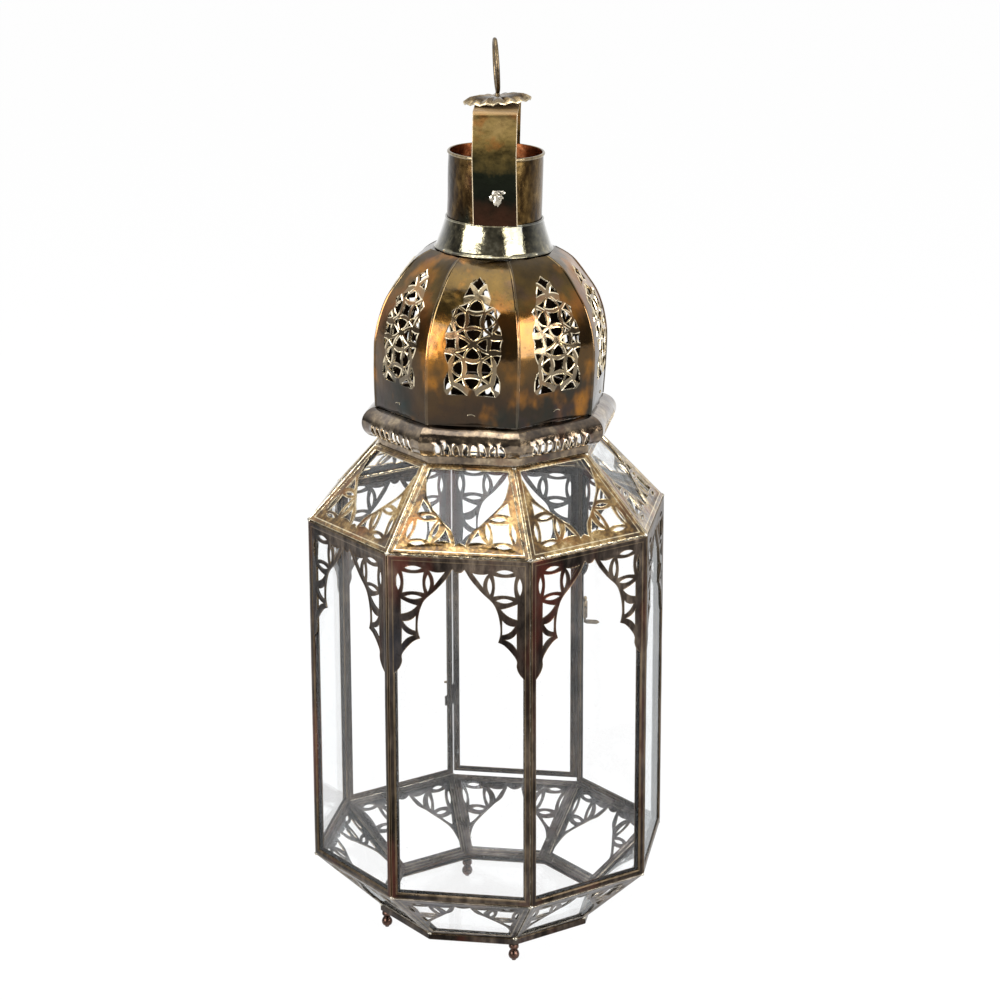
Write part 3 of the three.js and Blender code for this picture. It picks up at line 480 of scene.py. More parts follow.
# %% Glass finish
def window_glass():
    finish = Finish("window_glass")
    clear = finish.node("ShaderNodeBsdfTransparent", {}, {"Color": colour("#ffffff")})
    waves = finish.dented(0.08, finish.clouds(0.03, 2, 0.5), depth=0.002)
    shine = {"Color": colour("#f4f8fa"), "Roughness": 0.03, "Normal": waves}
    mirror = finish.node("ShaderNodeBsdfGlossy", {}, shine)
    dust = finish.node("ShaderNodeBsdfDiffuse", {}, {"Color": colour("#eef0f2")})
    facing = finish.node("ShaderNodeLayerWeight", {}, {"Blend": 0.5}, output="Facing")
    square = facing * facing
    glare = 0.02 + square * square * facing * 0.6
    film = finish.clouds(0.04, 4, 0.6, shift=3).rise(0.3, 0.8, 0.002, 0.014)
    grit = finish.clouds(0.0011, 2, 0.6, shift=8).rise(0.68, 0.76, 0, 0.3)
    finish.show(finish.layered(film + grit, finish.layered(glare, clear, mirror), dust))
    return finish.material


GLASS = window_glass()
glass_nodes = [name for name in frame["nodes"] if "_glass" in name]
for name in glass_nodes:
    for slot in frame["nodes"][name].material_slots:
        slot.material = GLASS
print("glass panes:", len(glass_nodes))

# %% [markdown]
# ## Sizes
#
# These are the sizes of the measured solids, in millimetres as they were taken. Shapes are worked out in
# millimetres, where a strip of 2.1 or a gap of 0.3 is easy to read, and become metres when a mesh is
# made.

# %% Sizes in millimetres
SIDES = 8
HALF_TURN = math.pi / SIDES
SPREAD = math.tan(HALF_TURN)
TO_APOTHEM = math.cos(HALF_TURN)
CLEARANCE = 0.3
FLOOR_Z, SKIRT_Z, WALL_Z, SHOULDER_Z, CROWN_Z = 12, 16.5, 57.5, 289.2, 336.9
FLOOR_RADIUS, WALL_RADIUS, SHOULDER_RADIUS = 75, 119, 74.3
DOOR_SIDE = 4
LEAN_TURN = math.radians(9.5)
LEAN = Vector((math.cos(LEAN_TURN), math.sin(LEAN_TURN), 0))
LEAN_AXIS = Vector((-LEAN.y, LEAN.x, 0))
CROWN_LEAN = math.radians(1.6)
BEAD_SHIFT, CROWN_SHIFT = 1.5, 4.2


def side_turn(k):
    """The turn from the front side to side k."""
    return 2 * HALF_TURN * k


def corner_turn(k):
    """The direction of the corner that follows side k."""
    return (2 * k + 1) * HALF_TURN - math.pi / 2


def ring_point(radius, height, k):
    """The corner after side k, on an octagon of a radius at a height."""
    angle = corner_turn(k)
    return Vector((radius * math.cos(angle), radius * math.sin(angle), height))


def rotated(point, angle):
    return Matrix.Rotation(angle, 3, "Z") @ Vector(point)


print("a wall is", round(2 * WALL_RADIUS * math.sin(HALF_TURN), 1), "mm wide")

# %% [markdown]
# ## Shapes from points
#
# Every piece is sheet, wire or a turned part, so nearly all of them are rows of points joined by faces. A
# class gathers such patches and turns them into one mesh. It also notes for each face how much of a fold
# or a rim it is, and the finishes paint those faces bright, partly as rubbed wear and partly as painted
# highlight. Modifiers could bevel the edges, but the rows already hold them.

# %% Shape
WELD = 0.002 * MM
SHARP_ANGLE = math.radians(38)


class Shape:
    """Points in millimetres and faces, gathered until they become one piece."""

    def __init__(self):
        self.points = []
        self.faces = []
        self.slots = []
        self.edges = []

    def add(self, points, faces, slot=0, edge=0.0):
        start = len(self.points)
        self.points += [Vector(point) for point in points]
        self.faces += [[start + index for index in face] for face in faces]
        self.slots += [slot] * len(faces)
        self.edges += [edge] * len(faces)

    def grid(self, rows, around=False, closed=False, slot=0, edges=(0.0,)):
        """Faces between rows of points; around joins the ends of each row, and closed joins the last row to
        the first."""
        width = len(rows[0])
        for index in range(len(rows) if closed else len(rows) - 1):
            pair = list(rows[index]) + list(rows[(index + 1) % len(rows)])
            faces = []
            for column in range(width if around else width - 1):
                following = (column + 1) % width
                faces.append((column, following, width + following, width + column))
            self.add(pair, faces, slot, edges[index % len(edges)])

    def cap(self, row, edge=0.0):
        self.add(row, [tuple(range(len(row)))], edge=edge)

    def tube(self, rows, edges=(0.0,)):
        """A closed form from rings of points: the rings joined, and a cap on each end."""
        self.grid(rows, around=True, edges=edges)
        self.cap(rows[0])
        self.cap(rows[-1])

    def moved(self, place):
        self.points = [place(point) for point in self.points]

    def piece(self, name, finishes, node, slot):
        """Makes the mesh, lets it ride on the body of a node and hides that node."""
        mesh = bpy.data.meshes.new(name)
        mesh.from_pydata([point * MM for point in self.points], [], self.faces)
        mesh.attributes.new("edge", "FLOAT", "FACE").data.foreach_set("value", self.edges)
        mesh.polygons.foreach_set("material_index", self.slots)
        build = bmesh.new()
        build.from_mesh(mesh)
        bmesh.ops.remove_doubles(build, verts=build.verts, dist=WELD)
        bmesh.ops.recalc_face_normals(build, faces=build.faces)
        build.to_mesh(mesh)
        build.free()
        mesh.polygons.foreach_set("use_smooth", [True] * len(mesh.polygons))
        mesh.set_sharp_from_angle(angle=SHARP_ANGLE)
        for finish in finishes:
            mesh.materials.append(finish)
        made = bpy.data.objects.new(name, mesh)
        bpy.context.scene.collection.objects.link(made)
        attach(made, home.get(node, "body"))
        if node:
            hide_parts(node)


print("a shape becomes one piece in", len(home), "possible places")

# %% [markdown]
# ## Rows for turned parts, wires and smooth lines
#
# A lathe, a bent wire and a curve are each a short rule that gives rows of points. Blender has curve
# objects and a screw modifier for them, but plain rows can be dented, capped and joined to other rows
# without conversion.

# %% Turned parts, wires, prisms and smooth lines
def turned(profile, steps, turn=0.0):
    """Rows of a turned part from its radii and heights."""
    angles = [turn + 2 * math.pi * step / steps for step in range(steps)]
    return [[Vector((radius * math.cos(a), radius * math.sin(a), height)) for a in angles]
            for radius, height in profile]


def wire_rows(path, radius, sides, closed=False, first=(0, 0, 1)):
    """Rings of points round a path, for round wire."""
    rows = []
    side = Vector(first)
    for index, point in enumerate(path):
        before = path[index - 1] if index or closed else point
        after = path[(index + 1) % len(path)] if index < len(path) - 1 or closed else point
        along = (after - before).normalized()
        side = (side - along * side.dot(along)).normalized()
        other = along.cross(side)
        width = radius[index] if isinstance(radius, list) else radius
        angles = [2 * math.pi * step / sides for step in range(sides)]
        rows.append([point + (side * math.cos(a) + other * math.sin(a)) * width for a in angles])
    return rows


def prism(shape, outline, low, high, place):
    """Adds an upright block over an outline; place moves its points."""
    rows = [[place(Vector((x, y, height))) for x, y in outline] for height in (low, high)]
    shape.grid(rows, around=True, edges=(0.3,))
    for row in rows:
        shape.cap(row, edge=0.3)


def smooth_line(*runs, steps=4):
    """A line through the points of each run, smooth inside a run and sharp where two runs meet."""
    line = []
    for run in runs:
        for index in range(len(run) - 1):
            a, b = Vector(run[max(index - 1, 0)]), Vector(run[index])
            c, d = Vector(run[index + 1]), Vector(run[min(index + 2, len(run) - 1)])
            for step in range(steps):
                t = step / steps
                line.append(0.5 * (2 * b + (c - a) * t + (2 * a - 5 * b + 4 * c - d) * t * t
                                   + (3 * b - a - 3 * c + d) * t ** 3))
    return line + [Vector(runs[-1][-1])]


print("a line through 3 points has", len(smooth_line([(0, 0), (1, 1), (2, 0)])), "points")

# %% [markdown]
# ## Outlines of holes
#
# A sawn hole is a closed line whose sides bow in or out between a few corners. Two corners make a lens.
# The corners were measured, the bows are one number each, and small random moves keep any two holes from
# being equal, as with a hand that guides the saw.

# %% Outlines
CORNER_STEPS, LENS_STEPS = 5, 9
SHARPEST = 0.45


def area_of(loop):
    return sum(a.x * b.y - b.x * a.y for a, b in zip(loop, loop[1:] + loop[:1])) / 2


def curved(corners, bows, steps):
    """A closed outline through the corners; a positive bow pushes a side outward."""
    corners = [Vector(corner) for corner in corners]
    turn = 1 if area_of(corners) > 0 else -1
    loop = []
    for index, start in enumerate(corners):
        along = corners[(index + 1) % len(corners)] - start
        outward = Vector((along.y, -along.x)).normalized() * turn
        for step in range(steps):
            t = step / steps
            loop.append(start + along * t + outward * bows[index % len(bows)] * 4 * t * (1 - t))
    return loop


def lens(tips, bow):
    """A slim outline between two tips."""
    start, end = tips
    along = end - start
    outward = Vector((along.y, -along.x)).normalized()
    there, returning = [], []
    for step in range(LENS_STEPS):
        t = step / LENS_STEPS
        there.append(start + along * t + outward * bow * 4 * t * (1 - t))
        returning.append(end - along * t - outward * bow * 4 * t * (1 - t))
    return there + returning


def by_hand(corners, reach, dice):
    """The corners, each moved a little."""
    return [Vector(c) + Vector((dice.uniform(-reach, reach), dice.uniform(-reach, reach))) for c in corners]


def leftward(loop):
    """The loop running counter-clockwise, without repeated points."""
    kept = [point for index, point in enumerate(loop) if (point - loop[index - 1]).length > 1e-3]
    return kept if area_of(kept) > 0 else kept[::-1]


def grown(loop, distance):
    """A counter-clockwise loop pushed outward, with its corners mitred."""
    made = []
    for index, point in enumerate(loop):
        before = (point - loop[index - 1]).normalized()
        after = (loop[(index + 1) % len(loop)] - point).normalized()
        first, second = Vector((before.y, -before.x)), Vector((after.y, -after.x))
        middle = (first + second).normalized()
        made.append(point + middle * (distance / max(middle.dot(first), SHARPEST)))
    return made


square = [Vector(corner) for corner in ((0, 0), (1, 0), (1, 1), (0, 1))]
print("a unit square grown by 0.5 has an area of", round(area_of(grown(square, 0.5)), 3))

# %% [markdown]
# ## Pierced sheet
#
# The patterns are cut from sheet with a saw and their rims stand up a little. A boolean cut would leave
# sharp, equal edges. Here the flat metal between the holes is triangulated, each hole gets a ring of
# faces that climbs to its rim and a wall through the sheet, and a function bends the flat drawing onto
# its place. The raised rims and the narrow strips between two holes are painted brighter, partly as
# rubbed wear, where a cloth reaches first, and partly as painted highlight.

# %% Pierced sheet
STRIP_REACH = 4.5


def filled(loops, extra=()):
    """Triangles between the first loop and the others, which are holes: an odd number of borders lies to the
    right of a middle that is metal."""
    points, borders = [], []
    for loop in loops:
        start, count = len(points), len(loop)
        points += loop
        borders += [(start + index, start + (index + 1) % count) for index in range(count)]
    points += extra
    made, _, faces, _, _, _ = delaunay_2d_cdt(points, borders, [], 0, 1e-5, False)
    spots = np.array([point[:] for point in made])
    middles = spots[np.array(faces)].mean(axis=1)
    starts = np.array([points[start][:] for start, _ in borders])
    ends = np.array([points[end][:] for _, end in borders])
    across, along = middles[:, :1], middles[:, 1:]
    crossing = (starts[:, 1] > along) != (ends[:, 1] > along)
    rise = ends[:, 1] - starts[:, 1]
    share = (along - starts[:, 1]) * (ends[:, 0] - starts[:, 0]) / np.where(rise == 0, 1, rise)
    inside = (crossing & (across < starts[:, 0] + share)).sum(axis=1) % 2 == 1
    faces = [face for face, kept in zip(faces, inside) if kept]
    used = sorted({index for face in faces for index in face})
    number = {index: place for place, index in enumerate(used)}
    return [made[index] for index in used], [[number[index] for index in face] for face in faces]


def strip_faces(points, faces, holes):
    """Whether each face is part of a strip: all its corners lie on rims of holes, and it is small."""
    rims = {(round(point.x, 3), round(point.y, 3)) for loop in holes for point in loop}
    between = []
    for face in faces:
        corners = [points[index] for index in face]
        on_rims = all((round(corner.x, 3), round(corner.y, 3)) in rims for corner in corners)
        between.append(on_rims and max((a - b).length for a in corners for b in corners) < STRIP_REACH)
    return between


def pierced_sheet(shape, outer, holes, place, front=0.0, thickness=0.6, rim=0.35, lift=0.12, extra=(),
                  back_slot=0, border=True, strips=0.0):
    """Adds a sheet with raised rims, also at its border, and paints the strips between its holes brighter,
    as rubbed wear and painted highlight; place takes (across, along, outward) to a point."""
    outer = leftward(outer)
    holes = [leftward(hole) for hole in holes]
    inner = [grown(outer, -rim)] + [grown(hole, rim) for hole in holes]
    points, faces = filled(inner, extra)
    between = strip_faces(points, faces, inner[1:])
    back = front - thickness
    front_points = [place(p.x, p.y, front) for p in points]
    shape.add(front_points, [face for face, narrow in zip(faces, between) if narrow], edge=strips)
    shape.add(front_points, [face for face, narrow in zip(faces, between) if not narrow])
    shape.add([place(p.x, p.y, back) for p in points], faces, back_slot)
    for start, end in zip(inner, [outer] + holes):
        raised = border or end is not outer
        steps = ((start, front), (end, front + lift * raised), (end, back), (start, back))
        rows = [[place(p.x, p.y, height) for p in loop] for loop, height in steps]
        # The raised rims are painted bright: partly rubbed wear, partly painted highlight.
        shape.grid(rows[:3], around=True, edges=(0.8, 0.55) if raised else (0.0,))
        shape.grid(rows[2:], around=True, slot=back_slot)


print("strips narrower than", STRIP_REACH, "mm between two holes are rubbed")

# %% [markdown]
# ## Panes
#
# All panes follow one drawing: a folded channel, called a came, whose edges are mitred against its
# neighbours, and a sheet with the pierced corners just in front of the glass. The class turns a drawing
# of the front side into any of the eight sides, so that the four kinds of pane differ only in their
# numbers.

# %% Pane
class Pane:
    """A pane of the front side drawn flat: u across, v up the slope, n outward."""

    def __init__(self, radii, z, rise, slopes, gaps, side_gap, wide_end):
        self.low_apothem = radii[0] * TO_APOTHEM
        self.z = z
        run = radii[1] * TO_APOTHEM - self.low_apothem
        self.length = math.hypot(run, rise)
        self.slope_out = run / self.length
        self.slope_up = rise / self.length
        self.slopes = slopes
        self.gaps = gaps
        self.side_gap = side_gap
        self.wide_end = wide_end

    def half_width(self, v, n=0.0):
        return SPREAD * (self.low_apothem + self.slope_out * v + self.slope_up * n) - self.side_gap

    def outline(self, n, inset):
        """The four corners at a height above the pane, moved in from its edges."""
        low = self.gaps[0] + self.slopes[0] * n + inset
        high = self.length - self.gaps[1] + self.slopes[1] * n - inset
        side = inset * math.hypot(1, SPREAD * self.slope_out)
        low_half, high_half = self.half_width(low, n) - side, self.half_width(high, n) - side
        corners = ((-low_half, low), (low_half, low), (high_half, high), (-high_half, high))
        return [Vector(corner) for corner in corners]

    def corner(self, point, side):
        """A place from its distances to the side edge and to the wide end."""
        v = self.length - point[1] if self.wide_end == "high" else point[1]
        return Vector((side * (self.half_width(v) + self.side_gap - point[0]), v))

    def on_side(self, k):
        """A function that takes (u, v, n) to side k of the lantern."""
        turn = Matrix.Rotation(side_turn(k), 3, "Z")

        def place(u, v, n):
            out = self.low_apothem + self.slope_out * v + self.slope_up * n
            return turn @ Vector((u, -out, self.z + self.slope_up * v - self.slope_out * n))

        return place


turn = round(math.degrees(side_turn(DOOR_SIDE)))
print("a pane of the front side goes to side", DOOR_SIDE, "by a turn of", turn, "degrees")

# %% [markdown]
# ## The four kinds of pane
#
# Two panes that meet at an angle are mitred: each is cut back along the line that halves the angle. The
# slopes say how fast an edge moves as the channel gets thicker, and the gaps leave half of a clearance on
# each side. The door is cut back further all round, because it has to swing.

# %% Wall, door, shoulder and skirt
DOOR_GAPS, DOOR_SIDE_GAP = (2.6, 0.9), 0.9


def bend(radius, rise):
    """The angle between a wall and a slanted pane."""
    return math.atan2((WALL_RADIUS - radius) * TO_APOTHEM, rise)


def mitre_gap(angle):
    return 0.5 * CLEARANCE / math.cos(angle)


SHOULDER_BEND = bend(SHOULDER_RADIUS, CROWN_Z - SHOULDER_Z)
SKIRT_BEND = bend(FLOOR_RADIUS, WALL_Z - SKIRT_Z)
wall_slopes = (-math.tan(SKIRT_BEND / 2), math.tan(SHOULDER_BEND / 2))
wall_gaps = (mitre_gap(SKIRT_BEND / 2), mitre_gap(SHOULDER_BEND / 2))
wall_radii = (WALL_RADIUS, WALL_RADIUS)
WALL = Pane(wall_radii, WALL_Z, SHOULDER_Z - WALL_Z, wall_slopes, wall_gaps, mitre_gap(HALF_TURN), "high")
DOOR = Pane(wall_radii, WALL_Z, SHOULDER_Z - WALL_Z, wall_slopes, DOOR_GAPS, DOOR_SIDE_GAP, "high")
SHOULDER = Pane((WALL_RADIUS, SHOULDER_RADIUS), SHOULDER_Z, CROWN_Z - SHOULDER_Z,
                (-math.tan(SHOULDER_BEND / 2), -math.tan(SHOULDER_BEND)),
                (mitre_gap(SHOULDER_BEND / 2), 0), mitre_gap(HALF_TURN), "low")
SKIRT = Pane((FLOOR_RADIUS, WALL_RADIUS), SKIRT_Z, WALL_Z - SKIRT_Z,
             (math.tan(SKIRT_BEND), math.tan(SKIRT_BEND / 2)),
             (CLEARANCE / math.cos(SKIRT_BEND), mitre_gap(SKIRT_BEND / 2)), mitre_gap(HALF_TURN), "high")
print("slanted panes:", round(SHOULDER.length, 1), "and", round(SKIRT.length, 1), "mm long")

# %% [markdown]
# ## The pierced corners
#
# The corner pattern is an old one: squares whose sides bow in, with a slim lens along each side, and
# triangles filling what is left towards the scalloped edge. It could be laid out as perfect geometry, but
# the real one is sawn by hand, so the places were measured and every pane moves them a little in its own
# way.

# %% Corner patterns
STRIP, TIP = 2.1, 3.1


def unit_holes(columns, rows, out, into):
    """The square of a pattern and the four lenses round it."""
    (x1, x2), (y1, y2) = columns, rows
    corner = 0.5 * STRIP + 0.75
    square = [(x1 + corner, y1 + corner), (x2 - corner, y1 + corner),
              (x2 - corner, y2 - corner), (x1 + corner, y2 - corner)]
    middle = (out - into) / 2
    bow = ((out + into - STRIP) / 2,)
    return [
        (square, (-(into + 0.5 * STRIP - corner),)),
        ([(x1 + TIP, y1 - middle), (x2 - TIP, y1 - middle)], bow),
        ([(x1 + TIP, y2 + middle), (x2 - TIP, y2 + middle)], bow),
        ([(x1 - middle, y1 + TIP), (x1 - middle, y2 - TIP)], bow),
        ([(x2 + middle, y1 + TIP), (x2 + middle, y2 - TIP)], bow),
    ]


def shifted(holes, edge, across, along):
    """The same pattern moved on its pane."""
    holes = [([(x + across, y + along) for x, y in corners], bows) for corners, bows in holes]
    return holes, [point + Vector((across, along)) for point in edge]


TALL_HOLES = unit_holes((8.1, 25.3), (8.9, 26.1), 3.3, 1.7) + [
    ([(26.9, 9.6), (37.1, 9.7), (30.2, 19)], (-0.8, 0, -1)),
    ([(8.9, 28.6), (19, 32.5), (9, 38.7)], (-0.4, 1.2, 0)),
    ([(10.2, 43.4), (18.2, 39.5), (18.05, 49.4)], (-1.2, 0, 1.2)),
    ([(9.2, 47.7), (16.7, 52.2), (9, 58.4)], (-1.2, -1, 0)),
]
TALL_EDGE = smooth_line(
    [(49.2, 7.8), (47.6, 9.6), (45.5, 10), (43.5, 9.6), (41.8, 7.8)],
    [(41.8, 7.8), (41, 9.1), (37.6, 14.5), (31.1, 22), (24.2, 28.6), (21.3, 34.5), (19.8, 41), (19.4, 47),
     (19.9, 51), (20.9, 54.2)],
    [(20.9, 54.2), (16.9, 56.1), (12.5, 60.5), (9.2, 65.5), (9.2, 70), (7.7, 74), (5.3, 77), (3.2, 79)],
)
SHORT_HOLES = unit_holes((8.6, 23.8), (9.2, 26), 3.0, 1.6) + [
    ([(26.8, 10.2), (36.8, 10.2), (30, 18.8)], (-0.8, 0, -1)),
    ([(8.6, 29.6), (16.6, 30.6), (8.8, 37.6)], (-0.4, 0.3, 0)),
]
SHORT_EDGE = smooth_line(
    [(51, 8.2), (48.5, 10), (45.5, 10.5), (42.5, 10), (40, 8.2)],
    [(40, 8.2), (39.6, 9.8), (34.8, 17.2), (28.8, 21.9), (24.3, 26), (20.4, 29.5), (17.2, 32.4), (12.6, 37),
     (9.8, 41), (8.4, 44), (6.8, 48), (5.3, 52), (3.2, 56)],
)
SKIRT_HOLES, SKIRT_EDGE = shifted(SHORT_HOLES, SHORT_EDGE, -1.8, -1.0)
print("holes in a tall corner:", len(TALL_HOLES), "in a short one:", len(SHORT_HOLES))

# %% [markdown]
# ## Cames and corners as one piece
#
# A came is a strip folded round the glass. Its section runs from the groove between two panes over a
# softly rounded face to the inner lip and round the seat of the glass. Swept round the pane it gives
# straight, dead edges, so a slow noise lets the face sink by up to two tenths of a millimetre, as folded
# sheet does.

# %% Building a pane
CAME_SECTION = [(0, -4), (0, -1.1), (0.12, -0.6), (0.45, -0.2), (0.95, -0.05), (2, 0), (3.1, -0.05),
                (3.6, -0.15), (3.9, -0.45), (4, -0.8), (1, -0.8), (1, -3.2), (4, -3.2), (4, -3.6), (3.6, -4),
                (2.3, -4), (1.9, -3.7), (1.5, -4)]
# How bright each band of the came's section is painted: rubbed wear and painted highlight lines on the
# rounded face, the rims and the inner lips.
CAME_EDGES = (0.1, 0.5, 0.9, 0.6, 0.1, 0.1, 0.5, 0.9, 0.7, 0, 0, 0, 0.7, 0.9, 0.1, 0, 0.8, 0.1)
CAME_STEPS = 14
CAME_SINK = 0.22
SHEET_FRONT = -0.3
UNDER_CAME = 3.2
SAW_REACH = 0.25


def came(shape, pane, place):
    rows = []
    for inset, n in CAME_SECTION:
        corners = pane.outline(n, inset)
        row = []
        for start, end in zip(corners, corners[1:] + corners[:1]):
            for step in range(CAME_STEPS):
                flat = start.lerp(end, step / CAME_STEPS)
                here = place(flat.x, flat.y, n)
                sink = CAME_SINK * abs(noise.noise(here * 0.045)) if n > -1 else 0.0
                row.append(place(flat.x, flat.y, n - sink))
        rows.append(row)
    shape.grid(rows, around=True, closed=True, edges=CAME_EDGES)


def pierced_corners(shape, pane, place, holes, edge, seed):
    """The sheet with a pierced corner on each side, joined by the scalloped rail."""
    dice = random.Random(seed)
    loops = []
    for side in (1, -1):
        for corners, bows in holes:
            moved = by_hand(corners, SAW_REACH, dice)
            bent = curved(moved, bows, CORNER_STEPS) if len(moved) > 2 else lens(moved, bows[0])
            loops.append([pane.corner(point, side) for point in bent])
    last = edge[-1].y
    right_edge = [pane.corner(point, 1) for point in edge]
    left_edge = [pane.corner(point, -1) for point in edge]
    outer = [pane.corner((UNDER_CAME, last), 1), pane.corner((UNDER_CAME, UNDER_CAME), 1),
             pane.corner((UNDER_CAME, UNDER_CAME), -1), pane.corner((UNDER_CAME, last), -1)]
    outer += [point for point in left_edge if point.x < 0][::-1]
    outer += [point for point in right_edge if point.x >= 0]
    pierced_sheet(shape, outer, loops, place, front=SHEET_FRONT)


def add_pane(shape, pane, k, holes, edge, seed):
    """Adds the came and the pierced corners of side k to a shape."""
    place = pane.on_side(k)
    came(shape, pane, place)
    pierced_corners(shape, pane, place, holes, edge, seed)


print("a came has", len(CAME_SECTION), "lines round its section")

# %% [markdown]
# ## Walls and door
#
# Seven walls and the door stay pieces of their own, as they were made. The door hangs on rolled knuckles:
# two belong to the wall beside it and two to the door. A knuckle is turned, and its leaf is a small prism
# that is bent round the edge of the pane, so that no two faces lie in one plane.

# %% Walls and door
HINGE_HEIGHTS = (WALL_Z + 52.3, WALL_Z + 164.8)
HINGE_OUT = 2.4
KNUCKLE_LENGTH = 7
KNUCKLE_EDGES = (0.6, 0.8, 0.1, 0.8, 0.6, 0)
WALL_LEAF_TURN = -0.75 * math.pi
WALL_SEED = 100
hinge_angle = corner_turn(DOOR_SIDE)
HINGE_LINE = Vector((math.cos(hinge_angle), math.sin(hinge_angle), 0)) * (WALL_RADIUS + HINGE_OUT)


def knuckle(shape, low, angle, side):
    """A rolled knuckle with the leaf that is soldered to the pane on one side of it."""
    high = low + KNUCKLE_LENGTH
    profile = [(1.15, low), (1.75, low), (1.9, low + 0.2), (1.9, high - 0.2), (1.75, high), (1.15, high)]
    rows = [[point + HINGE_LINE for point in row] for row in turned(profile, 20)]
    shape.grid(rows, around=True, closed=True, edges=KNUCKLE_EDGES)
    face = HINGE_OUT * TO_APOTHEM
    leaf = [(0.9, face - 0.9), (6, face - 0.9), (6, face + 0.2), (3, face + 0.2), (3, face - 0.15),
            (0.9, face - 0.15)]
    outline = [(x, side * y) for x, y in leaf]
    prism(shape, outline, low, high, lambda point: rotated(point, angle) + HINGE_LINE)


for k in range(SIDES):
    if k != DOOR_SIDE:
        wall = Shape()
        add_pane(wall, WALL, k, TALL_HOLES, TALL_EDGE, WALL_SEED + k)
        if k == DOOR_SIDE + 1:
            for low in HINGE_HEIGHTS:
                knuckle(wall, low, WALL_LEAF_TURN, 1)
        wall.piece(f"wall_{k}", [WALL_BRASS], f"wall_frame_{k}", "dark_bronze")

door = Shape()
add_pane(door, DOOR, DOOR_SIDE, TALL_HOLES, TALL_EDGE, WALL_SEED + DOOR_SIDE)
for low in HINGE_HEIGHTS:
    knuckle(door, low + KNUCKLE_LENGTH + CLEARANCE, 0, -1)
door.piece("door", [WALL_BRASS], "door_frame", "dark_bronze")
print("faces of the door:", len(door.faces))

# %% [markdown]
# ## Shoulder, skirt and floor
#
# The eight shoulder panes stay pieces of their own. The eight skirt panes were soldered into one ring
# first, so they become one piece. The floor's came is an octagon too, but it needs no class: its section
# is swept round eight corners.

# %% Shoulder, skirt and floor
SHOULDER_SEED, SKIRT_SEED = 200, 300
FLOOR_SECTION = [(0, 0.5), (0, 4.0), (0.4, 4.5), (3.6, 4.5), (4, 4.1), (4, 3.4), (1, 3.4), (1, 1.1),
                 (4, 1.1), (4, 0.4), (3.6, 0), (0.5, 0)]
FLOOR_EDGES = (0.1, 0.8, 0.1, 0.8, 0.3, 0, 0, 0, 0.3, 0.8, 0.1, 0.8)

for k in range(SIDES):
    shoulder = Shape()
    add_pane(shoulder, SHOULDER, k, SHORT_HOLES, SHORT_EDGE, SHOULDER_SEED + k)
    shoulder.piece(f"shoulder_{k}", [SHOULDER_BRASS], f"shoulder_frame_{k}", "golden_bronze")

skirt = Shape()
for k in range(SIDES):
    add_pane(skirt, SKIRT, k, SKIRT_HOLES, SKIRT_EDGE, SKIRT_SEED + k)
skirt.piece("skirt", [SKIRT_BRASS], "skirt_frame", "dark_bronze")

floor_profile = [(FLOOR_RADIUS - inset / TO_APOTHEM, FLOOR_Z + height) for inset, height in FLOOR_SECTION]
floor_came = Shape()
floor_came.grid(turned(floor_profile, SIDES, HALF_TURN), around=True, closed=True, edges=FLOOR_EDGES)
floor_came.piece("floor_came", [WALL_BRASS], "floor_frame", "dark_bronze")
print("faces of the skirt:", len(skirt.faces))

# %% [markdown]
# ## Solder
#
# The panes are joined by solder that runs in the grooves between them. It hardly shows, but without it
# light would pass through every groove. The grooves beside the door stay open. Small lumps sit where
# cames meet. A lump could be sculpted, but a ball pushed in and out by noise is as good at this size.

# %% Seams and lumps
SEAM_WIDTH, SEAM_NEAR, SEAM_FAR, SEAM_END = 0.7, 1.5, 3.7, 3


def seam(shape, start, end, inward):
    """A strip of solder in the groove between two points, a little behind the edge."""
    along = (end - start).normalized()
    inward = (inward - along * inward.dot(along)).normalized()
    across = along.cross(inward) * (SEAM_WIDTH / 2)
    ring = [inward * SEAM_NEAR - across, inward * SEAM_NEAR + across,
            inward * SEAM_FAR + across, inward * SEAM_FAR - across]
    ends = (start + along * SEAM_END, end - along * SEAM_END)
    shape.tube([[point + offset for offset in ring] for point in ends])


def lump(shape, centre, size, seed, reach=0.35):
    """A small rounded lump, pushed in and out by noise."""
    ball = bmesh.new()
    bmesh.ops.create_icosphere(ball, subdivisions=3, radius=1.0)
    points = []
    for vertex in ball.verts:
        wave = 1 + reach * noise.noise(vertex.co * 1.3 + Vector((seed, 0, 0)))
        points.append(Vector(centre) + Vector([vertex.co[axis] * size[axis] * wave for axis in range(3)]))
    shape.add(points, [[vertex.index for vertex in face.verts] for face in ball.faces], edge=0.3)
    ball.free()


print("a seam is", SEAM_WIDTH, "mm wide and", SEAM_FAR - SEAM_NEAR, "mm deep")

# %% [markdown]
# ## Solder round the lantern
#
# The same two helpers now go round the eight corners. Each groove needs the direction that leads into it,
# which halves the angle between the two panes beside it.

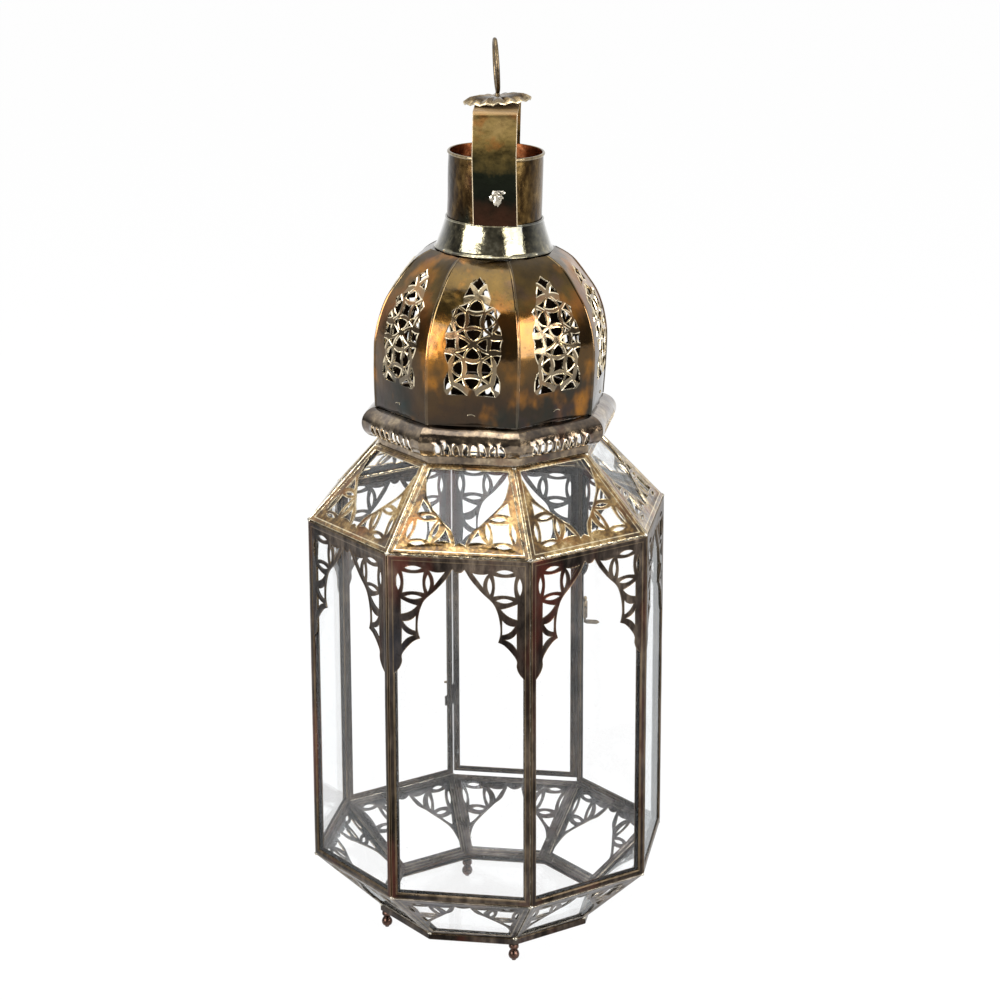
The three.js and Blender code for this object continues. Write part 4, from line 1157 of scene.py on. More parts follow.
# %% Solder in the grooves and lumps at the corners
MIDDLE_POINT = Vector((0, 0, 180))
JOINTS = [(WALL_RADIUS - 1.7, SHOULDER_Z, 1.7), (WALL_RADIUS - 1.7, WALL_Z, 1.6),
          (FLOOR_RADIUS - 1.2, SKIRT_Z, 1.7), (SHOULDER_RADIUS - 0.6, CROWN_Z - 1.2, 1.5)]
solder = Shape()
for k in range(SIDES):
    low, high = ring_point(WALL_RADIUS, WALL_Z, k), ring_point(WALL_RADIUS, SHOULDER_Z, k)
    if k not in (DOOR_SIDE - 1, DOOR_SIDE):
        seam(solder, low, high, -Vector((low.x, low.y, 0)))
    seam(solder, high, ring_point(SHOULDER_RADIUS, CROWN_Z, k), MIDDLE_POINT - high)
    seam(solder, ring_point(FLOOR_RADIUS, SKIRT_Z, k), low, MIDDLE_POINT - low)
    if k != DOOR_SIDE:
        inward = -Vector((math.sin(side_turn(k)), -math.cos(side_turn(k)), 0))
        before_high = ring_point(WALL_RADIUS, SHOULDER_Z, k - 1)
        before_low = ring_point(WALL_RADIUS, WALL_Z, k - 1)
        seam(solder, before_high, high, inward + Vector((0, 0, -math.tan(SHOULDER_BEND / 2))))
        seam(solder, before_low, low, inward + Vector((0, 0, math.tan(SKIRT_BEND / 2))))
    for radius, height, bulk in JOINTS:
        lump(solder, ring_point(radius, height, k), (bulk, bulk, bulk * 0.8), k * 7 + radius)
solder.piece("solder", [SOLDER], None, "dark_bronze")
print("solder faces:", len(solder.faces))

# %% [markdown]
# ## Hinge pins
#
# The door hangs on two pins of bent wire, which drop through the knuckles and end in a short hook. They
# are small, but they are what it turns on, so the wire is smooth and its ends are rounded. A bent tube
# needs no curve object here: rings of points follow a path, and the rings at its ends shrink to close it.

# %% Wires and hinge pins
PIN_RADIUS, PIN_BEND = 0.8, 1.2
TIP_SHARES = (0.0, 0.35, 0.75)


def capped(path, radius):
    """A path and its radii with rounded ends."""
    first, last = (path[1] - path[0]).normalized(), (path[-1] - path[-2]).normalized()
    widths = [radius * (0.1 + share * 1.1) for share in TIP_SHARES]
    start = [path[0] + first * radius * (share - 1) * 0.5 for share in TIP_SHARES]
    end = [path[-1] - last * radius * (share - 1) * 0.5 for share in reversed(TIP_SHARES)]
    return start + path + end, widths + [radius] * len(path) + widths[::-1]


def wire(shape, path, radius, sides=12, first=(1, 0.2, 0)):
    points, widths = capped(path, radius)
    shape.tube(wire_rows(points, widths, sides, first=first))


for name, low in zip(("hinge_pin_lower", "hinge_pin_upper"), HINGE_HEIGHTS):
    top = low + 2 * KNUCKLE_LENGTH + 1.5
    path = [Vector((0, 0, low - 1 + (top - low) * i / 6)) for i in range(6)]
    path += [Vector((-PIN_BEND * (1 - math.cos(i * math.pi / 8)), 0,
                     top - PIN_BEND + PIN_BEND * math.sin(i * math.pi / 8))) for i in range(5)]
    path += [Vector((-3, 0, top)), Vector((-4.4, 0, top - 0.1))]
    pin = Shape()
    wire(pin, path, PIN_RADIUS, first=(0, 1, 0))
    pin.moved(lambda point: point + HINGE_LINE)
    pin.piece(name + "_wire", [WIRE_BRASS], name, "wire_bronze")
print("points along a pin:", len(path))

# %% [markdown]
# ## Latch
#
# A short tube is soldered to the corner beside the door, and a wire turns in it. The end of the wire was
# hammered flat into a paddle that swings over the door's edge. The paddle is a row of sections that start
# round, grow wide and thin, and close in a soft tip.

# %% Latch tube and latch wire
TUBE_PROFILE = [(1.1, 4.5), (1.65, 4.5), (1.8, 4.7), (1.8, 16.3), (1.65, 16.5), (1.1, 16.5)]
TUBE_FOOT = [(-1.26, -2.7), (1.26, -2.7), (1.26, -1.44), (-1.26, -1.44)]
PADDLE_START, PADDLE_LENGTH, PADDLE_STEPS = -0.75, 10.75, 12
PADDLE_HALF_HEIGHT, PADDLE_HALF_THICKNESS, PADDLE_LEVEL = 1.5, 0.5, 1.5
latch_side = DOOR_SIDE - 1
latch_normal = Vector((math.sin(side_turn(latch_side)), -math.cos(side_turn(latch_side)), 0))
latch_along = Vector((latch_normal.y, -latch_normal.x, 0))
LATCH = ring_point(WALL_RADIUS, WALL_Z + 116.8, latch_side) + latch_normal * 3 + latch_along * 1.2

tube = Shape()
tube.grid(turned(TUBE_PROFILE, 20), around=True, closed=True, edges=KNUCKLE_EDGES)
prism(tube, TUBE_FOOT, 4.5, 16.5, lambda point: rotated(point, -2 * HALF_TURN))
tube.moved(lambda point: point + LATCH)
tube.piece("latch_tube_brass", [WIRE_BRASS], "latch_tube", "wire_bronze")

latch = Shape()
wire(latch, [Vector((0, 0, 1.5 + 2 * i)) for i in range(9)], 0.75)
lump(latch, (0, 0, 18.4), (1.55, 1.55, 1.55), 3, 0.12)
paddle_rows = []
for step in range(PADDLE_STEPS + 1):
    x = PADDLE_START + PADDLE_LENGTH * step / PADDLE_STEPS
    left = PADDLE_STEPS - step
    height = PADDLE_HALF_HEIGHT * min(1.0, 0.45 + 0.25 * step, 0.25 + 0.35 * left)
    thick = PADDLE_HALF_THICKNESS * min(1, 0.5 + 0.25 * left)
    ring = [(-thick, -0.7 * height), (-thick, 0.7 * height), (-0.5 * thick, height), (0.5 * thick, height),
            (thick, 0.7 * height), (thick, -0.7 * height), (0.5 * thick, -height), (-0.5 * thick, -height)]
    paddle_rows.append([Vector((x, y, PADDLE_LEVEL + z)) for y, z in ring])
latch.tube(paddle_rows, edges=(0.2,))
latch.moved(lambda point: point + LATCH)
latch.piece("latch_wire_brass", [WIRE_BRASS], "latch_wire", "wire_bronze")
print("latch at", tuple(round(value, 1) for value in LATCH))

# %% [markdown]
# ## Ball feet
#
# Four small feet are turned like beads, with a collar above a ball. A lathe profile through a few radii
# is smoothed into a curve, and noise makes each foot a little uneven in its own way.

# %% Feet
FOOT_PROFILE = smooth_line(
    [(0.9, 0), (1.4, 0.15), (1.5, 0.8), (2.9, 1.8), (3.65, 4), (2.95, 6.4), (1.85, 7.5)],
    [(1.85, 7.5), (2.6, 8.2), (3.3, 9.3), (3.3, 10.6), (2.9, 11.5), (1.8, 11.7)],
)
FOOT_INSET, FOOT_STEPS = 4.2, 28
for index in range(4):
    angle = (4 * index + 1) * HALF_TURN
    spot = Vector((math.cos(angle), math.sin(angle), 0)) * (FLOOR_RADIUS - FOOT_INSET)
    foot = Shape()
    foot.tube(turned([(point.x, max(point.y, 0)) for point in FOOT_PROFILE], FOOT_STEPS), edges=(0.15,))
    foot.moved(lambda point: point * (1 + 0.05 * noise.noise(point * 0.25 + spot)) + spot)
    foot.piece(f"foot_turned_{index}", [FOOT_COPPER], f"foot_{index}", "coppered_foot")
print("points along a foot's profile:", len(FOOT_PROFILE))

# %% [markdown]
# ## The sheet of the rolled bead
#
# A half-round roll of sheet sits on the shoulder, mitred at its eight corners, with a row of upright
# slots. It could be a torus with cuts, but the sheet is drawn flat here, across by along its curve,
# pierced, and then rolled, so that the slots bend with it.

# %% Bead sheet
BEAD_RADIUS = SHOULDER_RADIUS - 0.8
BEAD_APOTHEM = BEAD_RADIUS * TO_APOTHEM
BEAD_TUBE = 10
BEAD_FLANGE = 4.6
BEAD_MIDDLE = CLEARANCE + BEAD_FLANGE + BEAD_TUBE
BEAD_LENGTH = BEAD_FLANGE + math.pi * BEAD_TUBE
LEVEL_STEP, ACROSS_STEP = 1.5, 5.0
bead_levels = [min(step * LEVEL_STEP, BEAD_LENGTH) for step in range(int(BEAD_LENGTH / LEVEL_STEP) + 2)]


def bead_section(along, n):
    """Distance from the axis and height of a place along the flange and the roll."""
    if along <= BEAD_FLANGE:
        return BEAD_APOTHEM + n, CLEARANCE + along
    turn = (along - BEAD_FLANGE) / BEAD_TUBE - math.pi / 2
    return BEAD_APOTHEM + (BEAD_TUBE + n) * math.cos(turn), BEAD_MIDDLE + (BEAD_TUBE + n) * math.sin(turn)


def bead_half(along):
    """Half the width of one side of the bead."""
    return SPREAD * bead_section(along, 0)[0]


def on_bead(k):
    def place(across, along, n):
        out, height = bead_section(along, n)
        point = rotated((across * out / bead_section(along, 0)[0], -out, CROWN_Z + height), side_turn(k))
        dent = 0.25 * noise.noise(point * 0.06)
        return point * (1 + dent / 90) + LEAN * BEAD_SHIFT
    return place


print("the sheet of the bead is", round(BEAD_LENGTH, 1), "mm long before it is rolled")

# %% [markdown]
# ## The bead's slots and seams
#
# Each side has eight slots, a little unequal and a little tilted, because they were cut freehand. Extra
# points between them keep the triangles small enough to bend. A thin line of solder covers each mitred
# corner.

# %% Bead
BEAD_SEED = 400
SLOTS, SLOT_PITCH, SLOT_MIDDLE = 8, 5.7, 16.2
SLOT_HALF_WIDTH, SLOT_HALF_HEIGHT = 1.8, 4.9


def bead_slots(dice):
    slots = []
    for index in range(SLOTS):
        across = (index - (SLOTS - 1) / 2) * SLOT_PITCH + dice.uniform(-0.4, 0.4)
        centre = Vector((across, SLOT_MIDDLE + dice.uniform(-0.6, 0.6)))
        wide = SLOT_HALF_WIDTH + dice.uniform(-0.3, 0.3)
        tall = SLOT_HALF_HEIGHT + dice.uniform(-0.5, 0.4)
        tilt = dice.uniform(-0.15, 0.15)
        ring = [(wide * math.cos(a), tall * math.sin(a)) for a in [i * math.pi / 8 for i in range(16)]]
        slots.append([centre + Vector((x - tilt * y, y)) for x, y in ring])
    return slots


def points_between(slots):
    """Points on the flat sheet that keep away from the slots and the sides."""
    columns = [column * ACROSS_STEP - 30 for column in range(13)]
    points = []
    for along in bead_levels[1:-1]:
        points += [Vector((x, along)) for x in columns if abs(x) < bead_half(along) - 1.2]

    def clear(point, slot):
        return (abs(point.x - slot[0].x + SLOT_HALF_WIDTH) > 2.7
                or abs(point.y - slot[4].y + SLOT_HALF_HEIGHT) > 6.2)

    return [point for point in points if all(clear(point, slot) for slot in slots)]


bead = Shape()
for k in range(SIDES):
    right_side = [Vector((bead_half(along), along)) for along in bead_levels]
    outer = right_side + [Vector((-point.x, point.y)) for point in reversed(right_side)]
    slots = bead_slots(random.Random(BEAD_SEED + k))
    pierced_sheet(bead, outer, slots, on_bead(k), thickness=0.9, rim=0.4, lift=0.25,
                  extra=points_between(slots), back_slot=1, border=False)
    seam_path = []
    for along in bead_levels[2:]:
        out, height = bead_section(along, 0.1)
        seam_path.append(rotated((SPREAD * out, -out, CROWN_Z + height), side_turn(k)) + LEAN * BEAD_SHIFT)
    bead.grid(wire_rows(seam_path, 0.75, 8), around=True, slot=2)
bead.piece("bead", [BEAD_BRASS, SOOT, COLLAR_BRASS], "bead_ring", "polished_brass")
print("bead faces:", len(bead.faces))

# %% [markdown]
# ## The form of the dome
#
# Eight gores are bent over and soldered edge to edge. A turned dome would be round, and a boolean of bent
# plates would lose the drawing. So each gore is a flat drawing again, across the gore and up from its
# foot, and is bent over a smooth curve of measured radii. The dome leans a little, so its levels drift
# and tip upward.

# %% Dome form
DOME_Z = CROWN_Z + BEAD_MIDDLE + BEAD_TUBE + CLEARANCE
DOME_HEIGHT = 99.2
DOME_CURVE = [(0, 75), (20, 75.9), (40.5, 76), (52, 74.4), (62, 71.6), (71, 67.6), (80, 61.4), (86, 57),
              (92, 51.9), (96, 46.6), (99.2, 40.6)]
GORE_BULGE, GORE_DENT = 1.7, 0.35
GORE_STEPS = [DOME_HEIGHT * step / 44 for step in range(45)]


def dome_radius(height):
    """Radius to a corner at a height, on a smooth curve through the measured radii."""
    height = min(max(height, 0), DOME_HEIGHT)
    count = len(DOME_CURVE)
    index = next(i for i in range(count - 1) if height <= DOME_CURVE[i + 1][0])

    def slope(i):
        low, high = DOME_CURVE[max(i - 1, 0)], DOME_CURVE[min(i + 1, count - 1)]
        return (high[1] - low[1]) / (high[0] - low[0])

    (z1, r1), (z2, r2) = DOME_CURVE[index], DOME_CURVE[index + 1]
    t, length = (height - z1) / (z2 - z1), z2 - z1
    return ((2 * t ** 3 - 3 * t * t + 1) * r1 + (t ** 3 - 2 * t * t + t) * length * slope(index)
            + (3 * t * t - 2 * t ** 3) * r2 + (t ** 3 - t * t) * length * slope(index + 1))


def gore_half(height):
    """Half the width of a gore at a height."""
    return SPREAD * dome_radius(height) * TO_APOTHEM


def dome_level(point):
    """Lets a level of the dome drift and tip towards the lean of the crown."""
    share = min(max(point.z / DOME_HEIGHT, 0), 1)
    flat = Matrix.Rotation(CROWN_LEAN * share, 3, LEAN_AXIS) @ Vector((point.x, point.y, 0))
    shift = LEAN * (BEAD_SHIFT + (CROWN_SHIFT - BEAD_SHIFT) * share)
    return flat + shift + Vector((0, 0, point.z + DOME_Z))


def on_gore(k):
    def place(across, height, n):
        slope = (dome_radius(height + 0.5) - dome_radius(height - 0.5)) * TO_APOTHEM
        tilt = math.atan2(-slope, 1.0)
        out = dome_radius(height) * TO_APOTHEM
        share = across / (SPREAD * out)
        middle = 1 - share * share
        dent = GORE_DENT * noise.noise(Vector((across * 0.05 + 9 * k, height * 0.05, 3)))
        out += (GORE_BULGE * middle + dent * middle + n) * math.cos(tilt)
        return dome_level(rotated((across, -out, height + n * math.sin(tilt)), side_turn(k)))
    return place


print("the dome is widest at", max(DOME_CURVE, key=lambda level: level[1])[0], "mm above its foot")

# %% [markdown]
# ## The drawing of a gore
#
# Each gore holds a field of squares, petals and small holes, laid out round three star points one above
# the other. Between two star points the same figure repeats, squeezed to fit, so a loop draws it. What
# lies at the border of the field is listed for the right half and mirrored.

# %% Dome drawing
STARS = (22.5, 52.8, 80.4)
STAR_PITCH = 30.3
PETAL = (0.8, 1.0, 1.0)


def mirror(holes):
    """Holes with their mirror images."""
    return holes + [([(-x, y) for x, y in corners], bows) for corners, bows in holes]


def figure(low, high):
    """The square, the petals and the small holes between two star points."""
    middle = (low + high) / 2
    squeeze = (high - low) / STAR_PITCH
    half = 4.2 * squeeze
    square = [(-4.2, middle - half), (4.2, middle - half), (4.2, middle + half), (-4.2, middle + half)]
    holes = [(square, (-1.0,))]
    for star, way in ((high, 1), (low, -1)):
        base = middle + way * 6.9 * squeeze
        holes.append(([(-4.6, base), (4.6, base), (0, star - way * 2.3)], PETAL))
        holes += mirror([
            ([(2.3, star - way * 2.0), (9.9, star - way * 5.7), (6.1, star - way * 8.1)], (-0.6, 0, -0.7)),
            ([(7.5, star - way * 9.4), (11.2, star - way * 7), (12.7, middle + way * 1.9)], (0, -0.3, -0.5)),
        ])
    side = [(6.9, middle - 4.5 * squeeze), (12.2, middle), (6.9, middle + 4.5 * squeeze)]
    return holes + mirror([(side, (1.0, 1.0, 0.8))])


dome_holes = figure(STARS[0], STARS[1]) + figure(STARS[1], STARS[2])
dome_holes += mirror([
    ([(8.4, 49.6), (2.7, 52.8), (8.4, 56)], (0.5, 0.5, 0.4)),
    ([(10.9, 49.8), (17.2, 49.4), (17.5, 55.6), (11.2, 55.8)], (-0.5,)),
    ([(12.7, 60.2), (17.2, 59.2), (15.2, 63.8)], (0.4, 0.3, -0.3)),
    ([(12.6, 45.6), (17.3, 46.4), (15.3, 40.4)], (0.4, 0.3, -0.3)),
    ([(13.2, 25.6), (17.2, 23.2), (17.2, 29.6), (15.2, 34.6)], (0.2, 0.2, 0.2, -0.3)),
    ([(3.6, 20.6), (14.6, 20.4), (11.5, 25.8)], (0, 0.2, 0.5)),
    ([(2.4, 81), (8.2, 79.6), (5.2, 84.8)], (-0.3, 0.3, 0.2)),
    ([(12.7, 73.2), (15, 71.2), (14.1, 69.2)], (0,)),
])
dome_holes.append(([(0, 83.3), (4.4, 86.9), (0, 90.3), (-4.4, 86.9)], (-0.3,)))
print("holes in a gore:", len(dome_holes))

# %% [markdown]
# ## The seams and the foot of the dome
#
# A raised line of solder runs up each corner, and the foot of each gore shows a small bent wire. A low
# lip closes the top under the collar. All three are rows of points laid on the form of the dome, which
# keeps them tight to it where a separate object would have to be fitted.

# %% Ridges, crescents and the lip
RIDGE_SECTION = [(-1.3, -0.9), (-0.95, 0.1), (-0.4, 0.55), (0.4, 0.55), (0.95, 0.1), (1.3, -0.9)]
CRESCENT_HEIGHT, CRESCENT_HALF, CRESCENT_RISE = 7.2, 2.4, 1.3
LIP_LEVELS = ((0.0, 99.2), (0.5, 99.3), (1.0, 99.0))
LIP_RADIUS, LIP_STEPS = 34, 64


def ridge(shape, k):
    """The raised seam at the corner after gore k."""
    angle = corner_turn(k)
    outward = Vector((math.cos(angle), math.sin(angle), 0))
    sideways = Vector((-outward.y, outward.x, 0))
    rows = []
    for height in GORE_STEPS:
        radius = dome_radius(height)
        wave = 0.15 * noise.noise(Vector((height * 0.11, k * 5, 0)))
        lift = Vector((0, 0, height))
        level = [outward * (radius + n + wave) + sideways * width + lift for width, n in RIDGE_SECTION]
        rows.append([dome_level(point) for point in level])
    shape.grid(rows, edges=(0.12,))


def crescent(shape, k):
    """The small bent wire at the foot of gore k."""
    place = on_gore(k)
    arc = []
    for step in range(9):
        angle = math.pi * step / 8
        height = CRESCENT_HEIGHT + CRESCENT_RISE * math.sin(angle)
        arc.append(place(CRESCENT_HALF * math.cos(angle), height, 0.15))
    shape.grid(wire_rows(arc, [0.1] + [0.42] * 7 + [0.1], 8), around=True, edges=(0.3,))


def lip(shape):
    """Closes the top of the dome, from its eight sides to a circle under the collar."""
    rows = []
    for inner, height in LIP_LEVELS:
        row = []
        for step in range(LIP_STEPS):
            angle = 2 * math.pi * step / LIP_STEPS
            across = (angle + math.pi / 2 + HALF_TURN) % (2 * HALF_TURN) - HALF_TURN
            edge = DOME_CURVE[-1][1] * TO_APOTHEM / math.cos(across)
            radius = edge + (LIP_RADIUS - edge) * inner
            row.append(dome_level(Vector((radius * math.cos(angle), radius * math.sin(angle), height))))
        rows.append(row)
    shape.grid(rows, around=True)


print("a ridge is", RIDGE_SECTION[-1][0] - RIDGE_SECTION[0][0], "mm wide")

# %% [markdown]
# ## The dome as one piece
#
# The eight gores, their ridges and their crescents now become one piece, because solder made them one.
# Extra points fill the plain parts of each gore, so that they bend smoothly. The inside has a finish of
# soot.

# %% Dome
DOME_SEED = 500
GORE_SAW_REACH = 0.22
FIELD_LOW, FIELD_HIGH, FIELD_HALF = 18.5, 92, 20

side = [Vector((gore_half(height), height)) for height in GORE_STEPS]
outer = side + [Vector((-point.x, point.y)) for point in reversed(side)]
plain = []
for height in GORE_STEPS[1:-1]:
    for column in range(-6, 7):
        across = column * gore_half(height) / 7
        if height < FIELD_LOW or height > FIELD_HIGH or abs(across) > FIELD_HALF:
            plain.append(Vector((across, height)))

dome = Shape()
for k in range(SIDES):
    dice = random.Random(DOME_SEED + k)
    loops = [curved(by_hand(corners, GORE_SAW_REACH, dice), bows, 4) for corners, bows in dome_holes]
    # The lattice strips are painted paler, partly as rubbed wear and partly as painted highlight.
    pierced_sheet(dome, outer, loops, on_gore(k), thickness=0.7, rim=0.45, lift=0.5, extra=plain,
                  back_slot=1, border=False, strips=0.19)
    ridge(dome, k)
    crescent(dome, k)
lip(dome)
dome.piece("dome_gores", [DOME_BRASS, SOOT], "dome", "dome_bronze")
print("dome faces:", len(dome.faces))

# %% [markdown]
# ## Collar
#
# The crown leans, so its parts are made upright and moved by one matrix. The collar is a turned form with
# slow dents, and a few lumps of solder sit at its seams. Turning it from a profile is how the real one
# was spun.

# %% Collar
COLLAR_PROFILE = smooth_line([(35.4, 0.1), (37.4, 0.1), (37.9, 0.5), (37.8, 1.1), (36.7, 1.9)],
                             [(36.7, 1.9), (35.3, 6), (33.6, 11), (32.3, 15.5), (31.4, 19)],
                             [(31.4, 19), (31.6, 19.6), (31.3, 20.2), (30.5, 20.2)],
                             [(30.5, 20.2), (35, 2)], steps=3)
COLLAR_LUMPS = [(31.6, -1.9, 19.6, 0.9), (31.6, -1.2, 19.7, 0.8), (37.2, -0.6, 1.4, 0.9),
                (37.2, -2.4, 1.5, 1.0), (37.2, -1.55, 1.3, 0.7)]
crown_foot = LEAN * CROWN_SHIFT + Vector((0, 0, DOME_Z + DOME_HEIGHT + CLEARANCE))
CROWN = Matrix.Translation(crown_foot) @ Matrix.Rotation(CROWN_LEAN, 4, LEAN_AXIS)


def to_crown(point, angle=0.0):
    """Turns a point of the crown by an angle and puts it on the leaning axis."""
    return CROWN @ (rotated(point, angle) if angle else Vector(point))


def dented(point, depth, size):
    """A point of a turned part moved in or out by slow noise."""
    out = Vector((point.x, point.y, 0)).normalized()
    return point + out * depth * noise.noise(point * size)


collar = Shape()
collar.grid(turned([tuple(point) for point in COLLAR_PROFILE], 72), around=True, closed=True, edges=(0.1,))
for radius, angle, height, bulk in COLLAR_LUMPS:
    spot = (radius * math.cos(angle), radius * math.sin(angle), height)
    lump(collar, spot, (bulk, bulk, bulk * 0.8), angle * 9)
collar.moved(lambda point: to_crown(dented(point, 0.3, 0.07)))
collar.piece("collar_turned", [COLLAR_BRASS], "collar", "polished_brass")
print("points in the collar's profile:", len(COLLAR_PROFILE))

# %% [markdown]
# ## Chimney
#
# The chimney is a tube of sheet with a rolled rim, which is part of its profile. Its inside has a finish
# of its own, so it is a second set of faces and not a modifier's. The lap where the sheet was soldered is
# a thin, raised strip.

# %% Chimney
STRAP_TURN = math.radians(7)
SEAM_TURN = math.radians(75)
CHIMNEY_RADIUS, CHIMNEY_ROLL, CHIMNEY_TOP, CHIMNEY_STEPS = 30, 0.9, 62.1, 96
CHIMNEY_OUTSIDE = smooth_line(
    [(29.2, 16.7), (30, 16.8), (30, 30), (30, 45), (30, 59.9)],
    [(30, 59.9), (30.6, 60.3), (30.9, 60.9), (30.9, 61.5), (30.5, 62.0), (29.9, 62.1), (29.4, 61.9)],
)
CHIMNEY_BORE = [(29.4, 61.9), (29.2, 60), (29.2, 45), (29.2, 30), (29.2, 16.7)]
LAP = [(30.02, SEAM_TURN), (30.45, SEAM_TURN + 0.004), (30.45, SEAM_TURN + 0.1), (30.02, SEAM_TURN + 0.12)]

chimney = Shape()
outside = turned([tuple(point) for point in CHIMNEY_OUTSIDE], CHIMNEY_STEPS)
# The rolled rim is painted a little brighter: a painted highlight line and rubbed wear.
chimney.grid(outside, around=True, edges=(0.0,) * 18 + (0.3,) * 22)
chimney.grid(turned(CHIMNEY_BORE, CHIMNEY_STEPS), around=True, slot=1)
lap = [[Vector((r * math.cos(a), r * math.sin(a), height)) for r, a in LAP] for height in (17, 30, 45, 60)]
chimney.grid(lap, edges=(0.2,))
chimney.moved(lambda point: to_crown(dented(point, 0.35, 0.05), STRAP_TURN))
chimney.piece("chimney_tube", [CHIMNEY_BRASS, CHIMNEY_INSIDE], "chimney", "dome_bronze")
print("chimney faces:", len(chimney.faces))

# %% [markdown]
# ## The carrying strap
#
# The strap is one band bent over the chimney, and soldered to it where a rivet passes through. A bent box
# would have hard, equal edges. Here a line is drawn from one foot over the top to the other, and a
# section with slightly rolled edges follows it. Its front leg drifts a little to the side near its foot,
# as on the real one.

# %% Strap
STRAP_WIDTH = 27.8
STRAP_HALF = STRAP_WIDTH / 2
STRAP_RISE, STRAP_FOOT, STRAP_CORNER, STRAP_CUT = 91.6, 18, 1.9, 20.4
COLLAR_RISE, COLLAR_FOOT_RADIUS, COLLAR_TOP_RADIUS = 20.2, 36.4, 31.1
STRAP_DRIFT, STRAP_WAVE = 2.0, 0.35
# The strap's long edges and ends are painted bright: partly rubbed wear, partly painted highlight.
RUBBED_HIGHLIGHT_COLUMNS = (0, 11, 12, 25)
leg_at_rim = CHIMNEY_RADIUS + CHIMNEY_ROLL + CLEARANCE
leg_at_foot = (COLLAR_TOP_RADIUS + (COLLAR_FOOT_RADIUS - COLLAR_TOP_RADIUS) * (COLLAR_RISE - STRAP_FOOT)
               / COLLAR_RISE + 2 * CLEARANCE)


def leg_inside(height):
    return leg_at_foot + (leg_at_rim - leg_at_foot) * (height - STRAP_FOOT) / (CHIMNEY_TOP - STRAP_FOOT)


def strap_line(offset):
    """The bent line from the foot of one leg to the foot of the other, seen from the side."""
    radius = STRAP_CORNER - 1 + offset
    middle = (leg_inside(STRAP_RISE - STRAP_CORNER) + offset - radius, STRAP_RISE - 1 + offset - radius)
    levels = [STRAP_CUT + (middle[1] - STRAP_CUT) * i / 12 for i in range(12)]
    half_line = [(leg_inside(z) + offset, z) for z in levels]
    for i in range(9):
        angle = i * math.pi / 16
        half_line.append((middle[0] + radius * math.cos(angle), middle[1] + radius * math.sin(angle)))
    half_line += [(middle[0] * (1 - i / 4), STRAP_RISE - 1 + offset) for i in range(1, 4)]
    return half_line + [(0, STRAP_RISE - 1 + offset)] + [(-y, z) for y, z in reversed(half_line)]


def strap_point(x, y, z):
    """A point of the strap, waved by hand work and drifting on the front leg."""
    wave = STRAP_WAVE * noise.noise(Vector((x * 0.06, y * 0.05, z * 0.05)))
    drift = STRAP_DRIFT * max(0.0, 1 - (z - STRAP_FOOT) / 45) if y < 0 else 0.0
    away = 1 if y > 0 else -1
    return Vector((x + drift, y + (wave * away if abs(y) > 20 else 0), z))


strap = Shape()
columns = [STRAP_WIDTH * (step / 10 - 0.5) for step in range(1, 10)]
columns = [-STRAP_HALF, -13.45] + columns + [13.45, STRAP_HALF]
strap_rows = []
for (y1, z1), (y2, z2) in zip(strap_line(1.0), strap_line(0.0)):
    ring = []
    for x in columns:
        roll = 0.3 * max(0.0, abs(x) / STRAP_HALF - 0.86) / 0.14
        ring.append(strap_point(x, y1 + (y2 - y1) * roll, z1 + (z2 - z1) * roll))
    strap_rows.append(ring + [strap_point(x, y2, z2) for x in reversed(columns)])
for row, following in zip(strap_rows, strap_rows[1:]):
    for column in range(len(row)):
        after = (column + 1) % len(row)
        corners = [row[column], row[after], following[after], following[column]]
        strap.add(corners, [(0, 1, 2, 3)], edge=0.7 if column in RUBBED_HIGHLIGHT_COLUMNS else 0.0)
strap.cap(strap_rows[0], edge=0.8)
strap.cap(strap_rows[-1], edge=0.8)
strap.moved(lambda point: to_crown(point, STRAP_TURN))
strap.piece("strap_band", [STRAP_BRASS], "strap", "polished_brass")
print("sections along the strap:", len(strap_rows))

# %% [markdown]
# ## The rivets
#
# A rivet is a turned head whose axis lies flat, so it is turned upright first and then laid against the
# strap. On the front the rivet was flooded with solder, which froze as a small star of four lumps.

# %% Rivets
RIVET_HEIGHT = 38
RIVET_PROFILE = ((1.2, -3), (1.2, 0), (2.4, 0.02), (2.3, 0.5), (1.6, 1.0), (0.7, 1.25), (0.15, 1.3))
STAR_LUMPS = ((3.0, -0.6, 2.0, 4.4), (4.4, 3.6, 3.4, 1.3), (1.2, 3.0, 1.8, 1.4), (4.6, 0.6, 1.6, 1.5))
face = leg_inside(RIVET_HEIGHT) + 1.15
for name, way in (("rivet_front", -1), ("rivet_back", 1)):
    rivet = Shape()
    rivet.tube(turned(RIVET_PROFILE, 24), edges=(0.2,))
    rivet.moved(lambda point: Vector((point.x, way * (face + point.z), RIVET_HEIGHT + point.y)))
    if name == "rivet_front":
        for x, z, wide, tall in STAR_LUMPS:
            lump(rivet, (x, -face - 0.4, RIVET_HEIGHT + z), (wide, 0.9, tall), 20 * x, 0.7)
    rivet.moved(lambda point: to_crown(point, STRAP_TURN))
    rivet.piece(name + "_head", [SOLDER], name, "polished_brass")
print("rivets at", round(face, 1), "mm from the axis of the chimney")

# %% [markdown]
# ## Fluted cap
#
# The cap is a disc crimped into sixteen flutes with sharp creases. Its height is a zigzag round the disc
# that dies out towards the middle, and the same zigzag scallops its rim. It sits a little tilted on the
# strap.

